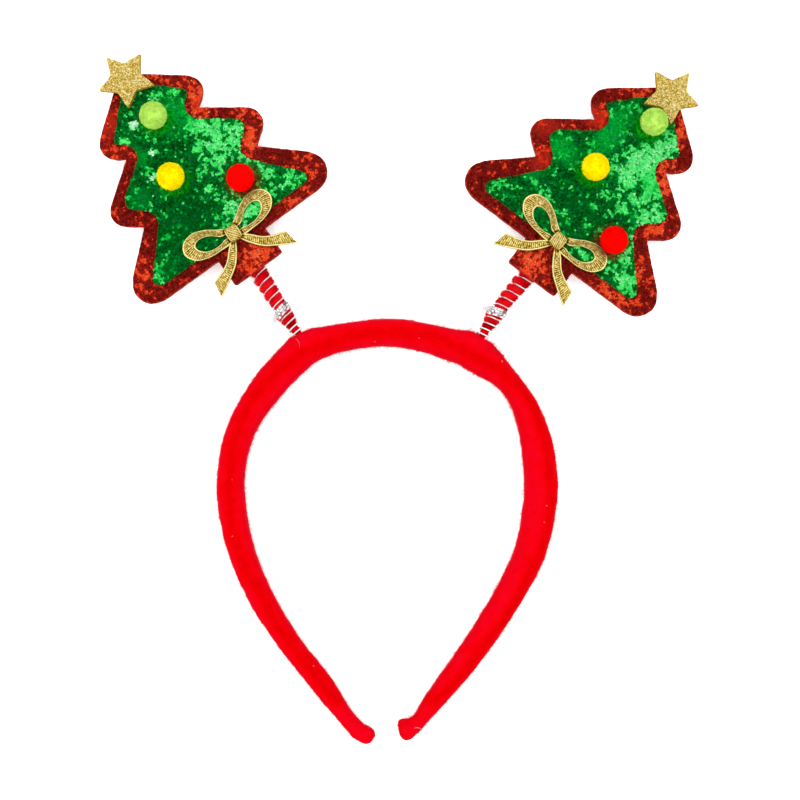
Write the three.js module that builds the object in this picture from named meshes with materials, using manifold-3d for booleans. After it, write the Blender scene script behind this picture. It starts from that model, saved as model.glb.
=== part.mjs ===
// A Christmas tree headband: a felt-covered hoop, open between its two tips, with a glitter tree on each of two wire springs.
//
// Millimetres. The headband lies on its side: +Z is up from the surface that it lies on, +Y points from the tips to the
// crown, and +X points to the tree named right. The origin is the middle of the whole thing's footprint, on that surface.
//
// Each tree is built upright in a frame of its own, with u across it, v up it and w out of its front. The frame starts at
// the middle of the trunk's foot, at the height of the spring's axis.

import * as THREE from "three";
import { mergeVertices } from "three/addons/utils/BufferGeometryUtils.js";
import Module from "manifold-3d";

const wasm = await Module();
wasm.setup();

// The hoop: sizes are taken on the centreline of its felt-covered section.
const BAND_WIDTH = 118.2;
const BAND_HEIGHT = 155.5;
const BAND_THICKNESS = 11.4; // from the inside of the hoop to its outside
const BAND_DEPTH = 13.0; // from its back to its front
const BAND_FLAT = 0.6; // how far the felt's underside is pressed flat where it lies
const BAND_SQUARENESS = 2.4; // exponent of the section's rounded outline, 2 for an ellipse
const BAND_SECTION_SIDES = 14;
const BAND_STEPS_PER_ROW = 2;
const TIP_ROUND = 2.6; // length over which each tip closes

// The springs, each with a chenille stem inside and a clear tie around it.
const SPRING_LENGTH = 27.2; // what shows of it between the felt and the trunk
const SPRING_TAIL = 12.0; // what is glued behind the trunk
const SOCKET_DEPTH = 4.2; // how deep it stands in the felt
const SOCKET_CLEARANCE = 0.35;
const COIL_RADIUS = 2.4; // to the middle of the wire
const WIRE_RADIUS = 0.28;
const TURNS = 15;
const PITCH_GROWTH = 1.35; // 1 for an even pitch; above 1 the turns open towards the tree
const TURN_STEPS = 9;
const WIRE_SIDES = 5;
const PILE_RADIUS = 3.3; // the pile where it swells between two turns
const PILE_CLEARANCE = 0.3; // between the wire and the groove that it presses into the pile
const PILE_SWELL = 0.45; // how far the pile swells out of its groove, as a share of the pitch
const PILE_ROWS = [-0.12, 0.12, 0.36, 0.64]; // where the groove's floor and the swelling start and end, in turns
const TIE_PLACE = 0.32; // along the spring, as a share of its whole length
const TIE_LENGTH = 3.4;
const TIE_WALL = 0.45;
const TIE_CLEARANCE = 0.35;
const TIE_SIDES = 16;
const TIE_LEAN = 14; // degrees, as the turns lie
const TIE_TAB = { reach: 2.6, width: 2.2 };

// The trees: flat boards in layers, glued with a thin gap between them.
const TREE_WIDTH = 87.6;
const TREE_HEIGHT = 91.5;
const TRUNK_WIDTH = 21.8;
const TRUNK_HEIGHT = 11.3;
const TRUNK_CORNER = 0.9;
const TIP_RADIUS = 7.8; // the lowest tier's rounding, which the other tips follow
const BOARD_THICKNESS = 2.0;
const PANEL_SIDE_BORDER = 8.7; // how much of the board shows beside the panel
const PANEL_FOOT_BORDER = 4.7;
const PANEL_TOP_BORDER = 3.2;
const PANEL_NOTCH_RADIUS = 5.2;
const PANEL_TIP_RADIUS = 2.8;
const PANEL_THICKNESS = 1.0;
const GLUE_GAP = 0.3;

// What is stuck on them.
const STAR_RADIUS = 11.2;
const STAR_NOTCH_RADIUS = 5.9;
const STAR_THICKNESS = 2.6;
const STAR_TIP_ROUND = 0.35;
const STAR_NOTCH_ROUND = 1.2;
const STAR_BELOW_TOP = 4.3; // from the board's top corner down to the star's middle
const STAR_ASIDE = 0.8; // how far its middle is to the right of the trunk's
const POMPOM_RADIUS = 5.6;
const POMPOM_VALLEY = 0.93; // the ball between its locks, as a share of its radius
const POMPOM_SEAT = 0.9; // how far below its middle a ball is pressed flat, as a share of its radius
const BOW_WIDTH = 40.0;
const BOW_HEIGHT = 26.5; // from the tails' points to the top of the loops
const BOW_THICKNESS = 1.2;
const BOW_RIM = 0.55; // the height of a strip's edge, as a share of its thickness
const KNOT_WIDTH = 5.2;
const KNOT_HEIGHT = 6.4;
const KNOT_THICKNESS = 1.9;
const KNOT_ROUND = 1.3;

const ARC_SEGMENTS = 2; // each rounded corner gets twice as many facets

// The hoop's sections from the left tip over the crown to the right tip. across is a share of half BAND_WIDTH, down of
// BAND_HEIGHT, thick of BAND_THICKNESS and deep of BAND_DEPTH. A spring stands in the felt where a row names one.
const BAND_ROWS = [
  { across: -0.08, down: 0.991, thick: 0.6, deep: 0.58 },
  { across: -0.18, down: 0.973, thick: 0.65, deep: 0.62 },
  { across: -0.27, down: 0.935, thick: 0.56, deep: 0.64 },
  { across: -0.389, down: 0.872, thick: 0.72, deep: 0.72 },
  { across: -0.553, down: 0.793, thick: 0.75, deep: 0.8 },
  { across: -0.698, down: 0.715, thick: 0.81, deep: 0.86 },
  { across: -0.822, down: 0.633, thick: 0.85, deep: 0.92 },
  { across: -0.923, down: 0.54, thick: 0.9, deep: 0.96 },
  { across: -0.984, down: 0.443, thick: 0.95, deep: 1.0 },
  { across: -0.995, down: 0.342, thick: 0.94, deep: 1.0 },
  { across: -0.936, down: 0.24, thick: 1.0, deep: 1.0 },
  { across: -0.797, down: 0.15, thick: 1.06, deep: 1.0 },
  { across: -0.677, down: 0.095, thick: 1.12, deep: 1.0 },
  { across: -0.584, down: 0.058, thick: 1.16, deep: 1.0 },
  { across: -0.514, down: 0.036, thick: 1.2, deep: 1.02, spring: "left" },
  { across: -0.399, down: 0.022, thick: 1.0, deep: 1.0 },
  { across: -0.266, down: 0.011, thick: 0.91, deep: 1.0 },
  { across: -0.081, down: 0.0, thick: 0.92, deep: 1.0 },
  { across: 0.106, down: 0.001, thick: 0.955, deep: 1.0 },
  { across: 0.289, down: 0.015, thick: 1.0, deep: 1.0 },
  { across: 0.415, down: 0.029, thick: 1.1, deep: 1.0 },
  { across: 0.508, down: 0.037, thick: 1.22, deep: 1.0 },
  { across: 0.562, down: 0.0455, thick: 1.3, deep: 1.02, spring: "right" },
  { across: 0.654, down: 0.073, thick: 1.12, deep: 1.0 },
  { across: 0.74, down: 0.1, thick: 0.89, deep: 1.0 },
  { across: 0.84, down: 0.144, thick: 0.78, deep: 1.0 },
  { across: 0.911, down: 0.195, thick: 0.91, deep: 1.0 },
  { across: 0.966, down: 0.263, thick: 1.08, deep: 1.0 },
  { across: 0.995, down: 0.342, thick: 1.14, deep: 1.0 },
  { across: 0.995, down: 0.41, thick: 1.15, deep: 1.0 },
  { across: 0.926, down: 0.537, thick: 1.07, deep: 0.97 },
  { across: 0.839, down: 0.608, thick: 1.0, deep: 0.93 },
  { across: 0.727, down: 0.683, thick: 0.96, deep: 0.88 },
  { across: 0.53, down: 0.793, thick: 0.89, deep: 0.8 },
  { across: 0.412, down: 0.852, thick: 0.8, deep: 0.74 },
  { across: 0.289, down: 0.911, thick: 0.68, deep: 0.68 },
  { across: 0.22, down: 0.948, thick: 0.5, deep: 0.64 },
  { across: 0.161, down: 0.968, thick: 0.64, deep: 0.62 },
  { across: 0.078, down: 0.966, thick: 0.67, deep: 0.58 },
];

// How each tree stands: turn is about Z, droop lowers its top and roll its side. footShift, middleShift and topShift say
// how far the spring's axis runs beside the trunk's middle. Each ball has its place as shares of half TREE_WIDTH and of
// TREE_HEIGHT; the red one's height is counted from the bow, in ball radii.
const TREES = [
  {
    side: "left",
    turn: 35.5,
    droop: 2.0,
    roll: -1.5,
    footShift: -2.2,
    middleShift: -1.6,
    topShift: -0.5,
    starTurn: 6,
    bow: { u: 0.1, v: 16.4, turn: 0 },
    balls: [
      { colour: "lime", across: 0.033, up: 0.756 },
      { colour: "yellow", across: -0.148, up: 0.51 },
      { colour: "red", across: 0.33, overBow: 0.98 },
    ],
  },
  {
    side: "right",
    turn: -36.8,
    droop: 3.0,
    roll: 1.5,
    footShift: -1.9,
    middleShift: -2.6,
    topShift: -1.5,
    starTurn: -1,
    bow: { u: -0.7, v: 17.4, turn: -4.5 },
    balls: [
      { colour: "lime", across: 0.029, up: 0.813 },
      { colour: "yellow", across: -0.141, up: 0.517 },
      { colour: "red", across: 0.36, overBow: 0.55 },
    ],
  },
];

// The tips and notches of a tree from its top down: half is a share of half the outline's width, up of its height, and
// round of the outline's tip or notch radius. Each is the corner before it is rounded.
const BOARD_CORNERS = [
  { half: 0.636, up: 0.765, round: 0.81 },
  { half: 0.385, up: 0.692, round: 0.06 },
  { half: 0.882, up: 0.52, round: 0.77 },
  { half: 0.6, up: 0.419, round: 0.06 },
  { half: 1.294, up: 0.1235, round: 1.0 },
];
const PANEL_CORNERS = [
  { half: 0.499, up: 0.755, tip: 0.55 },
  { half: 0.252, up: 0.658, notch: 0.96 },
  { half: 0.834, up: 0.452, tip: 1.2 },
  { half: 0.504, up: 0.322, notch: 1.06 },
  { half: 1.1, up: 0, tip: 1.0 },
];

// The bow's strips, each a row of sections from one edge to the other. x is a share of half BOW_WIDTH and y of
// BOW_HEIGHT, both counted from the middle of the knot. The left half is the mirror image.
const LOOP_ROWS = [
  { outerX: 0.04, outerY: 0.105, innerX: 0.04, innerY: 0.03 },
  { outerX: 0.225, outerY: 0.185, innerX: 0.22, innerY: 0.05 },
  { outerX: 0.425, outerY: 0.283, innerX: 0.4, innerY: 0.16 },
  { outerX: 0.675, outerY: 0.34, innerX: 0.61, innerY: 0.204 },
  { outerX: 0.91, outerY: 0.283, innerX: 0.715, innerY: 0.166 },
  { outerX: 0.995, outerY: 0.14, innerX: 0.72, innerY: 0.102 },
  { outerX: 0.88, outerY: -0.011, innerX: 0.63, innerY: 0.019 },
  { outerX: 0.625, outerY: -0.091, innerX: 0.475, innerY: -0.026 },
  { outerX: 0.375, outerY: -0.109, innerX: 0.3, innerY: -0.026 },
  { outerX: 0.18, outerY: -0.113, innerX: 0.2, innerY: -0.004 },
  { outerX: 0.04, outerY: -0.087, innerX: 0.04, innerY: -0.019 },
];
const TAIL_ROWS = [
  { outerX: 0.11, outerY: -0.053, innerX: 0.02, innerY: -0.1 },
  { outerX: 0.26, outerY: -0.155, innerX: 0.145, innerY: -0.249 },
  { outerX: 0.415, outerY: -0.275, innerX: 0.31, innerY: -0.396 },
  { outerX: 0.6, outerY: -0.351, innerX: 0.515, innerY: -0.502 },
  { outerX: 0.82, outerY: -0.404, innerX: 0.885, innerY: -0.66 },
];
const STRIP_STEPS_PER_ROW = 2;

const RED_FELT = new THREE.MeshStandardMaterial({ color: 0xe8040f, roughness: 0.95 });
const SILVER_WIRE = new THREE.MeshStandardMaterial({ color: 0xd8dadc, roughness: 0.2, metalness: 1 });
const RED_PILE = new THREE.MeshStandardMaterial({ color: 0xd80512, roughness: 0.95 });
const CLEAR_FILM = new THREE.MeshStandardMaterial({ color: 0xe6e9ec, roughness: 0.1, transparent: true, opacity: 0.35 });
const RED_GLITTER = new THREE.MeshStandardMaterial({ color: 0x9c1010, roughness: 0.35, metalness: 0.7 });
const GREEN_GLITTER = new THREE.MeshStandardMaterial({ color: 0x0c7a30, roughness: 0.3, metalness: 0.7 });
const GOLD_GLITTER = new THREE.MeshStandardMaterial({ color: 0xd9b45c, roughness: 0.45, metalness: 0.6 });
const GOLD_RIBBON = new THREE.MeshStandardMaterial({ color: 0xd8c070, roughness: 0.4, metalness: 0.6 });
const BALL_MATERIALS = {
  lime: new THREE.MeshStandardMaterial({ color: 0xb4ec6a, roughness: 0.95 }),
  yellow: new THREE.MeshStandardMaterial({ color: 0xffdc00, roughness: 0.95 }),
  red: new THREE.MeshStandardMaterial({ color: 0xff0a04, roughness: 0.95 }),
};

function mesh(name, geometry, material) {
  const made = new THREE.Mesh(geometry, material);
  made.name = name;
  return made;
}

// A closed geometry from a list of points and of triangles.
function geometryFrom(points, triangles) {
  const geometry = new THREE.BufferGeometry().setFromPoints(points);
  geometry.setIndex(triangles.flat());
  geometry.computeVertexNormals();
  return geometry;
}

function toSolid(geometry) {
  const bare = geometry.clone();
  bare.deleteAttribute("normal");
  bare.deleteAttribute("uv");
  const merged = mergeVertices(bare, 1e-4);
  const vertProperties = new Float32Array(merged.attributes.position.array);
  return new wasm.Manifold(
    new wasm.Mesh({ numProp: 3, vertProperties, triVerts: new Uint32Array(merged.index.array) }),
  );
}

function toGeometry(solid) {
  const { numProp, numVert, vertProperties, triVerts } = solid.getMesh();
  const points = [];
  for (let i = 0; i < numVert; i++) {
    points.push(new THREE.Vector3(...vertProperties.subarray(i * numProp, i * numProp + 3)));
  }
  const geometry = new THREE.BufferGeometry().setFromPoints(points);
  geometry.setIndex(Array.from(triVerts));
  geometry.computeVertexNormals();
  return geometry;
}

// A solid skin over rings of equally many points, fanned shut at both ends. The points run anticlockwise as seen from
// the last ring.
function loft(rings) {
  const sides = rings[0].length;
  const points = rings.flat();
  const triangles = [];
  for (let i = 0; i + 1 < rings.length; i++) {
    for (let j = 0; j < sides; j++) {
      const a = i * sides + j;
      const b = i * sides + ((j + 1) % sides);
      triangles.push([a, b, b + sides], [a, b + sides, a + sides]);
    }
  }
  const last = (rings.length - 1) * sides;
  for (let j = 1; j + 1 < sides; j++) {
    triangles.push([0, j + 1, j], [last, last + j, last + j + 1]);
  }
  return geometryFrom(points, triangles);
}

// A table's columns as one smooth function of t, from 0 at its first row to 1 at its last.
function smoothColumns(rows, columns) {
  const curves = columns.map(
    (column) => new THREE.CatmullRomCurve3(rows.map((row, i) => new THREE.Vector3(i, row[column], 0))),
  );
  return (t) => Object.fromEntries(columns.map((column, k) => [column, curves[k].getPoint(t).y]));
}

const bandRow = smoothColumns(BAND_ROWS, ["thick", "deep"]);
const bandPath = new THREE.CatmullRomCurve3(
  BAND_ROWS.map(({ across, down }) => new THREE.Vector3((across * BAND_WIDTH) / 2, -down * BAND_HEIGHT, 0)),
);

// The hoop's middle, outward direction, thickness and depth at t.
function bandAt(t) {
  const { thick, deep } = bandRow(t);
  const middle = bandPath.getPoint(t);
  const along = bandPath.getTangent(t);
  return {
    middle,
    outward: new THREE.Vector3(-along.y, along.x, 0),
    thickness: thick * BAND_THICKNESS,
    depth: deep * BAND_DEPTH,
  };
}

const power = (value, exponent) => Math.sign(value) * Math.abs(value) ** exponent;

// One ring of the hoop's skin, pressed flat on the surface that it lies on, and drawn in by share where a tip closes.
function bandRing(t, share) {
  const { middle, outward, thickness, depth } = bandAt(t);
  const height = depth / 2 - BAND_FLAT;
  const ring = [];
  for (let k = 0; k < BAND_SECTION_SIDES; k++) {
    const angle = (2 * Math.PI * k) / BAND_SECTION_SIDES;
    const out = power(Math.cos(angle), 2 / BAND_SQUARENESS) * (thickness / 2) * share;
    const up = power(Math.sin(angle), 2 / BAND_SQUARENESS) * (depth / 2) * share;
    const point = middle.clone().addScaledVector(outward, out);
    point.z = Math.max(up, -height) + height;
    ring.push(point);
  }
  return ring;
}

function bandGeometry() {
  const length = bandPath.getLength();
  const rings = [];
  for (const back of [0.0, 0.3, 1]) {
    const share = Math.sqrt(1 - (1 - back) ** 2) * 0.9 + 0.1;
    rings.push(bandRing(bandPath.getUtoTmapping((back * TIP_ROUND) / length, 0), share));
  }
  const steps = (BAND_ROWS.length - 1) * BAND_STEPS_PER_ROW;
  for (let i = BAND_STEPS_PER_ROW; i <= steps - BAND_STEPS_PER_ROW; i++) {
    rings.push(bandRing(i / steps, 1));
  }
  for (const back of [1, 0.3, 0.0]) {
    const share = Math.sqrt(1 - (1 - back) ** 2) * 0.9 + 0.1;
    rings.push(bandRing(bandPath.getUtoTmapping(1 - (back * TIP_ROUND) / length, 0), share));
  }
  return loft(rings);
}

// Where a spring leaves the felt, halfway up the hoop's depth.
function springFoot(side) {
  const row = BAND_ROWS.findIndex(({ spring }) => spring === side);
  const { middle, outward, thickness, depth } = bandAt(row / (BAND_ROWS.length - 1));
  const foot = middle.clone().addScaledVector(outward, thickness / 2);
  foot.z = depth / 2 - BAND_FLAT;
  return foot;
}

const radians = THREE.MathUtils.degToRad;

// A tree's own frame in the hoop's: the trunk's foot stands one spring length from the felt.
function treeFrame(tree) {
  const across = new THREE.Vector3(Math.cos(radians(tree.turn)), Math.sin(radians(tree.turn)), 0);
  const up = new THREE.Vector3(-across.y, across.x, 0);
  const place = springFoot(tree.side).addScaledVector(across, -tree.footShift).addScaledVector(up, SPRING_LENGTH);
  return new THREE.Matrix4().makeBasis(across, up, new THREE.Vector3(0, 0, 1)).setPosition(place);
}

// The spring's axis in its tree's frame, from the bottom of its socket to the end of its tail behind the trunk.
function springAxis(tree) {
  const drop = Math.sin(radians(tree.droop));
  return new THREE.CatmullRomCurve3([
    new THREE.Vector3(tree.footShift, -SPRING_LENGTH - SOCKET_DEPTH + SOCKET_CLEARANCE, 0),
    new THREE.Vector3(tree.footShift, -SPRING_LENGTH, 0),
    new THREE.Vector3(tree.middleShift, -SPRING_LENGTH / 2, 0),
    new THREE.Vector3(tree.topShift, 0, 0),
    new THREE.Vector3(tree.topShift / 2, SPRING_TAIL / 2, (-drop * SPRING_TAIL) / 2),
    new THREE.Vector3(0, SPRING_TAIL, -drop * SPRING_TAIL),
  ]);
}

// A point given as its angle round the axis, its distance from it and its place along it, from 0 to 1.
function pointRound(axis, angle, radius, share) {
  const along = axis.getTangentAt(share);
  const sideways = new THREE.Vector3(0, 0, 1).cross(along).normalize();
  const outwards = sideways.clone().cross(along);
  return axis
    .getPointAt(share)
    .addScaledVector(outwards, radius * Math.cos(angle))
    .addScaledVector(sideways, radius * Math.sin(angle));
}

const shareAtTurn = (turn) => (Math.min(Math.max(turn, 0), TURNS) / TURNS) ** PITCH_GROWTH;

function wireGeometry(axis) {
  const length = axis.getLength();
  const first = 0.5;
  const last = TURNS - 0.25;
  const steps = Math.round((last - first) * TURN_STEPS);
  const rings = [];
  for (let i = 0; i <= steps; i++) {
    const turn = first + i / TURN_STEPS;
    const ring = [];
    for (let k = 0; k < WIRE_SIDES; k++) {
      const angle = (-2 * Math.PI * k) / WIRE_SIDES;
      const radius = COIL_RADIUS + WIRE_RADIUS * Math.cos(angle);
      const share = shareAtTurn(turn) + (WIRE_RADIUS * Math.sin(angle)) / length;
      ring.push(pointRound(axis, 2 * Math.PI * turn, radius, Math.max(share, 0)));
    }
    rings.push(ring);
  }
  return loft(rings);
}

// The pile's skin is one strip wound round the axis, so that the wire's groove runs along its rows. Each round of the
// strip starts where the round before it ends, and a fan shuts it at both ends.
function pileGeometry(axis) {
  const length = axis.getLength();
  const groove = COIL_RADIUS - WIRE_RADIUS - PILE_CLEARANCE;
  const perTurn = PILE_ROWS.length;
  const rows = perTurn * (TURNS - 2) + 1;
  const tie = tieSpan(axis);
  const points = [];
  const vertexAt = (row, j) => (j === TURN_STEPS ? (row + perTurn) * TURN_STEPS : row * TURN_STEPS + j);
  for (let row = 0; row < rows + perTurn; row++) {
    const inTurn = PILE_ROWS[row % perTurn];
    for (let j = 0; j < TURN_STEPS; j++) {
      const turn = 0.5 + Math.floor(row / perTurn) + inTurn + j / TURN_STEPS;
      const share = shareAtTurn(turn);
      const pitch = (shareAtTurn(turn + 0.5) - shareAtTurn(turn - 0.5)) * length;
      const swollen = Math.min(PILE_RADIUS, groove + PILE_SWELL * pitch);
      const squeezed = Math.abs(share - tie.middle) < tie.half ? Math.min(swollen, tie.inner - TIE_CLEARANCE) : swollen;
      const radius = Math.abs(inTurn) < 0.2 ? groove : squeezed;
      points.push(pointRound(axis, 2 * Math.PI * (0.5 + j / TURN_STEPS), radius, share));
    }
  }
  const triangles = [];
  for (let row = 0; row + 1 < rows; row++) {
    for (let j = 0; j < TURN_STEPS; j++) {
      const [a, b] = [vertexAt(row, j), vertexAt(row, j + 1)];
      const [c, d] = [vertexAt(row + 1, j + 1), vertexAt(row + 1, j)];
      triangles.push([a, b, c], [a, c, d]);
    }
  }
  for (const [row, outwards] of [[0, false], [rows - 1, true]]) {
    const rim = [];
    for (let j = 0; j <= TURN_STEPS; j++) {
      rim.push(vertexAt(row, j));
    }
    for (let back = perTurn - 1; back > 0; back--) {
      rim.push(vertexAt(row + back, 0));
    }
    const middle = points.length;
    const height = rim.reduce((sum, index) => sum + points[index].y, 0) / rim.length;
    const share = (height - points[vertexAt(0, 0)].y) / length + shareAtTurn(0.5 + PILE_ROWS[0]);
    points.push(axis.getPointAt(Math.min(Math.max(share, 0), 1)));
    rim.forEach((index, k) => {
      const next = rim[(k + 1) % rim.length];
      triangles.push(outwards ? [middle, index, next] : [middle, next, index]);
    });
  }
  return geometryFrom(points, triangles);
}

// The stretch of the spring that the tie squeezes, with the tie's bore.
function tieSpan(axis) {
  return {
    middle: TIE_PLACE,
    half: (TIE_LENGTH / 2 + COIL_RADIUS) / axis.getLength(),
    inner: COIL_RADIUS + WIRE_RADIUS + TIE_CLEARANCE,
  };
}

// The clear tie: a short tube of film round the spring, with its loose end standing off to the side.
function tieGeometry(axis) {
  const { middle, inner } = tieSpan(axis);
  const outer = inner + TIE_WALL;
  const half = TIE_LENGTH / 2;
  const profile = [
    [inner, -half],
    [outer, -half],
    [outer, half],
    [inner, half],
    [inner, -half],
  ].map(([x, y]) => new THREE.Vector2(x, y));
  const tab = new THREE.BoxGeometry(TIE_TAB.reach, TIE_TAB.width, TIE_WALL);
  tab.translate(-inner - TIE_WALL / 2 - TIE_TAB.reach / 2, 0, 0);
  const made = toGeometry(toSolid(new THREE.LatheGeometry(profile, TIE_SIDES)).add(toSolid(tab)));
  made.applyMatrix4(new THREE.Matrix4().makeShear(Math.tan(radians(TIE_LEAN)), 0, 0, 0, 0, 0));
  const along = axis.getTangentAt(middle);
  made.rotateZ(Math.atan2(-along.x, along.y));
  const { x, y, z } = axis.getPointAt(middle);
  made.translate(x, y, z);
  return made;
}

// An outline through corners that are each rounded by their own radius.
function roundedShape(corners) {
  const shape = new THREE.Shape();
  corners.forEach(({ x, y, r }, i) => {
    const corner = new THREE.Vector2(x, y);
    const before = corners[(i + corners.length - 1) % corners.length];
    const after = corners[(i + 1) % corners.length];
    const back = new THREE.Vector2(before.x, before.y).sub(corner).normalize();
    const on = new THREE.Vector2(after.x, after.y).sub(corner).normalize();
    const halfAngle = Math.acos(THREE.MathUtils.clamp(back.dot(on), -1, 1)) / 2;
    const centre = back.clone().add(on).normalize().multiplyScalar(r / Math.sin(halfAngle)).add(corner);
    const start = corner.clone().addScaledVector(back, r / Math.tan(halfAngle)).sub(centre);
    const end = corner.clone().addScaledVector(on, r / Math.tan(halfAngle)).sub(centre);
    const clockwise = back.cross(on) > 0;
    shape.absarc(centre.x, centre.y, r, start.angle(), end.angle(), clockwise);
  });
  shape.closePath();
  return shape;
}

// The right half of a tree's corners with its mirror image, from the top down and round.
function mirrored(top, half) {
  const left = half.map(({ x, y, r }) => ({ x: -x, y, r }));
  return [top, ...left, ...half.reverse()];
}

function boardShape() {
  const tiers = BOARD_CORNERS.map(({ half, up, round }) => ({
    x: (half * TREE_WIDTH) / 2,
    y: up * TREE_HEIGHT,
    r: round * TIP_RADIUS,
  }));
  tiers.at(-1).y = TRUNK_HEIGHT;
  const trunk = [
    { x: TRUNK_WIDTH / 2, y: TRUNK_HEIGHT, r: TRUNK_CORNER / 3 },
    { x: TRUNK_WIDTH / 2, y: 0, r: TRUNK_CORNER },
  ];
  const top = { x: 0, y: TREE_HEIGHT, r: TIP_RADIUS / 2 };
  return roundedShape(mirrored(top, [...tiers, ...trunk]));
}

function panelShape() {
  const halfWidth = TREE_WIDTH / 2 - PANEL_SIDE_BORDER;
  const foot = TRUNK_HEIGHT + PANEL_FOOT_BORDER;
  const height = TREE_HEIGHT - PANEL_TOP_BORDER - foot;
  const tiers = PANEL_CORNERS.map(({ half, up, tip = 0, notch = 0 }) => ({
    x: half * halfWidth,
    y: foot + up * height,
    r: tip * PANEL_TIP_RADIUS + notch * PANEL_NOTCH_RADIUS,
  }));
  const top = { x: 0, y: foot + height, r: PANEL_TIP_RADIUS };
  return roundedShape(mirrored(top, tiers));
}

function starShape(turn) {
  const corners = [];
  for (let k = 0; k < 10; k++) {
    const isTip = k % 2 === 0;
    const angle = radians(90 + turn + 36 * k);
    const radius = isTip ? STAR_RADIUS : STAR_NOTCH_RADIUS;
    corners.push({
      x: radius * Math.cos(angle),
      y: radius * Math.sin(angle),
      r: isTip ? STAR_TIP_ROUND : STAR_NOTCH_ROUND,
    });
  }
  return roundedShape(corners);
}

// A flat piece of the outline's shape, with its back at height w.
function plate(shape, w, thickness) {
  const geometry = new THREE.ExtrudeGeometry(shape, {
    depth: thickness,
    bevelEnabled: false,
    curveSegments: ARC_SEGMENTS,
  });
  return geometry.translate(0, 0, w);
}

// A pompom: each face of a round head carries one lock, and the underside is pressed flat where it is glued.
function ballGeometry() {
  const head = new THREE.IcosahedronGeometry(POMPOM_RADIUS * POMPOM_VALLEY, 1);
  head.deleteAttribute("normal");
  head.deleteAttribute("uv");
  const { attributes, index } = mergeVertices(head, 1e-4);
  const points = [];
  for (let i = 0; i < attributes.position.count; i++) {
    points.push(new THREE.Vector3().fromBufferAttribute(attributes.position, i));
  }
  const triangles = [];
  for (let i = 0; i < index.count; i += 3) {
    const [a, b, c] = [index.getX(i), index.getX(i + 1), index.getX(i + 2)];
    const lock = points[a].clone().add(points[b]).add(points[c]).setLength(POMPOM_RADIUS);
    const tip = points.push(lock) - 1;
    triangles.push([a, b, tip], [b, c, tip], [c, a, tip]);
  }
  const seat = POMPOM_SEAT * POMPOM_RADIUS;
  points.forEach((point) => {
    point.z = Math.max(point.z, -seat);
  });
  return geometryFrom(points, triangles);
}

// A strip of padded ribbon that lies on w = 0, through rows of edge points. side is -1 for the mirror image.
function stripSolid(rows, side) {
  const columns = smoothColumns(rows, ["outerX", "outerY", "innerX", "innerY"]);
  const steps = (rows.length - 1) * STRIP_STEPS_PER_ROW;
  const rings = [];
  for (let i = 0; i <= steps; i++) {
    const { outerX, outerY, innerX, innerY } = columns(i / steps);
    const outer = new THREE.Vector3((side * outerX * BOW_WIDTH) / 2, outerY * BOW_HEIGHT, 0);
    const inner = new THREE.Vector3((side * innerX * BOW_WIDTH) / 2, innerY * BOW_HEIGHT, 0);
    const section = [
      [0, 0],
      [0, BOW_RIM],
      [0.3, 1],
      [0.7, 1],
      [1, BOW_RIM],
      [1, 0],
    ].map(([share, lift]) => outer.clone().lerp(inner, share).setZ(lift * BOW_THICKNESS));
    rings.push(side > 0 ? section : section.reverse());
  }
  return toSolid(loft(rings));
}

function bowGeometry() {
  const corners = [
    { x: KNOT_WIDTH / 2, y: KNOT_HEIGHT / 2, r: KNOT_ROUND },
    { x: -KNOT_WIDTH / 2, y: KNOT_HEIGHT / 2, r: KNOT_ROUND },
    { x: -KNOT_WIDTH / 2, y: -KNOT_HEIGHT / 2, r: KNOT_ROUND },
    { x: KNOT_WIDTH / 2, y: -KNOT_HEIGHT / 2, r: KNOT_ROUND },
  ];
  let bow = toSolid(plate(roundedShape(corners), 0, KNOT_THICKNESS));
  for (const side of [1, -1]) {
    bow = bow.add(stripSolid(LOOP_ROWS, side)).add(stripSolid(TAIL_ROWS, side));
  }
  return toGeometry(bow);
}

// The socket that a spring stands in, in its tree's frame.
function socketSolid(tree) {
  const axis = springAxis(tree);
  const radius = COIL_RADIUS + WIRE_RADIUS + SOCKET_CLEARANCE;
  const socket = new THREE.CylinderGeometry(radius, radius, 2 * SOCKET_DEPTH, TIE_SIDES);
  const { x, z } = axis.getPoint(0);
  socket.translate(x, -SPRING_LENGTH, z);
  return toSolid(socket.applyMatrix4(treeFrame(tree)));
}

function headbandMesh() {
  let felt = toSolid(bandGeometry());
  for (const tree of TREES) {
    felt = felt.subtract(socketSolid(tree));
  }
  return mesh("headband_felt", toGeometry(felt), RED_FELT);
}

function springMeshes(tree) {
  const axis = springAxis(tree);
  return [
    mesh(`spring_wire_${tree.side}`, wireGeometry(axis), SILVER_WIRE),
    mesh(`chenille_stem_${tree.side}`, pileGeometry(axis), RED_PILE),
    mesh(`clear_tie_${tree.side}`, tieGeometry(axis), CLEAR_FILM),
  ];
}

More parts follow.
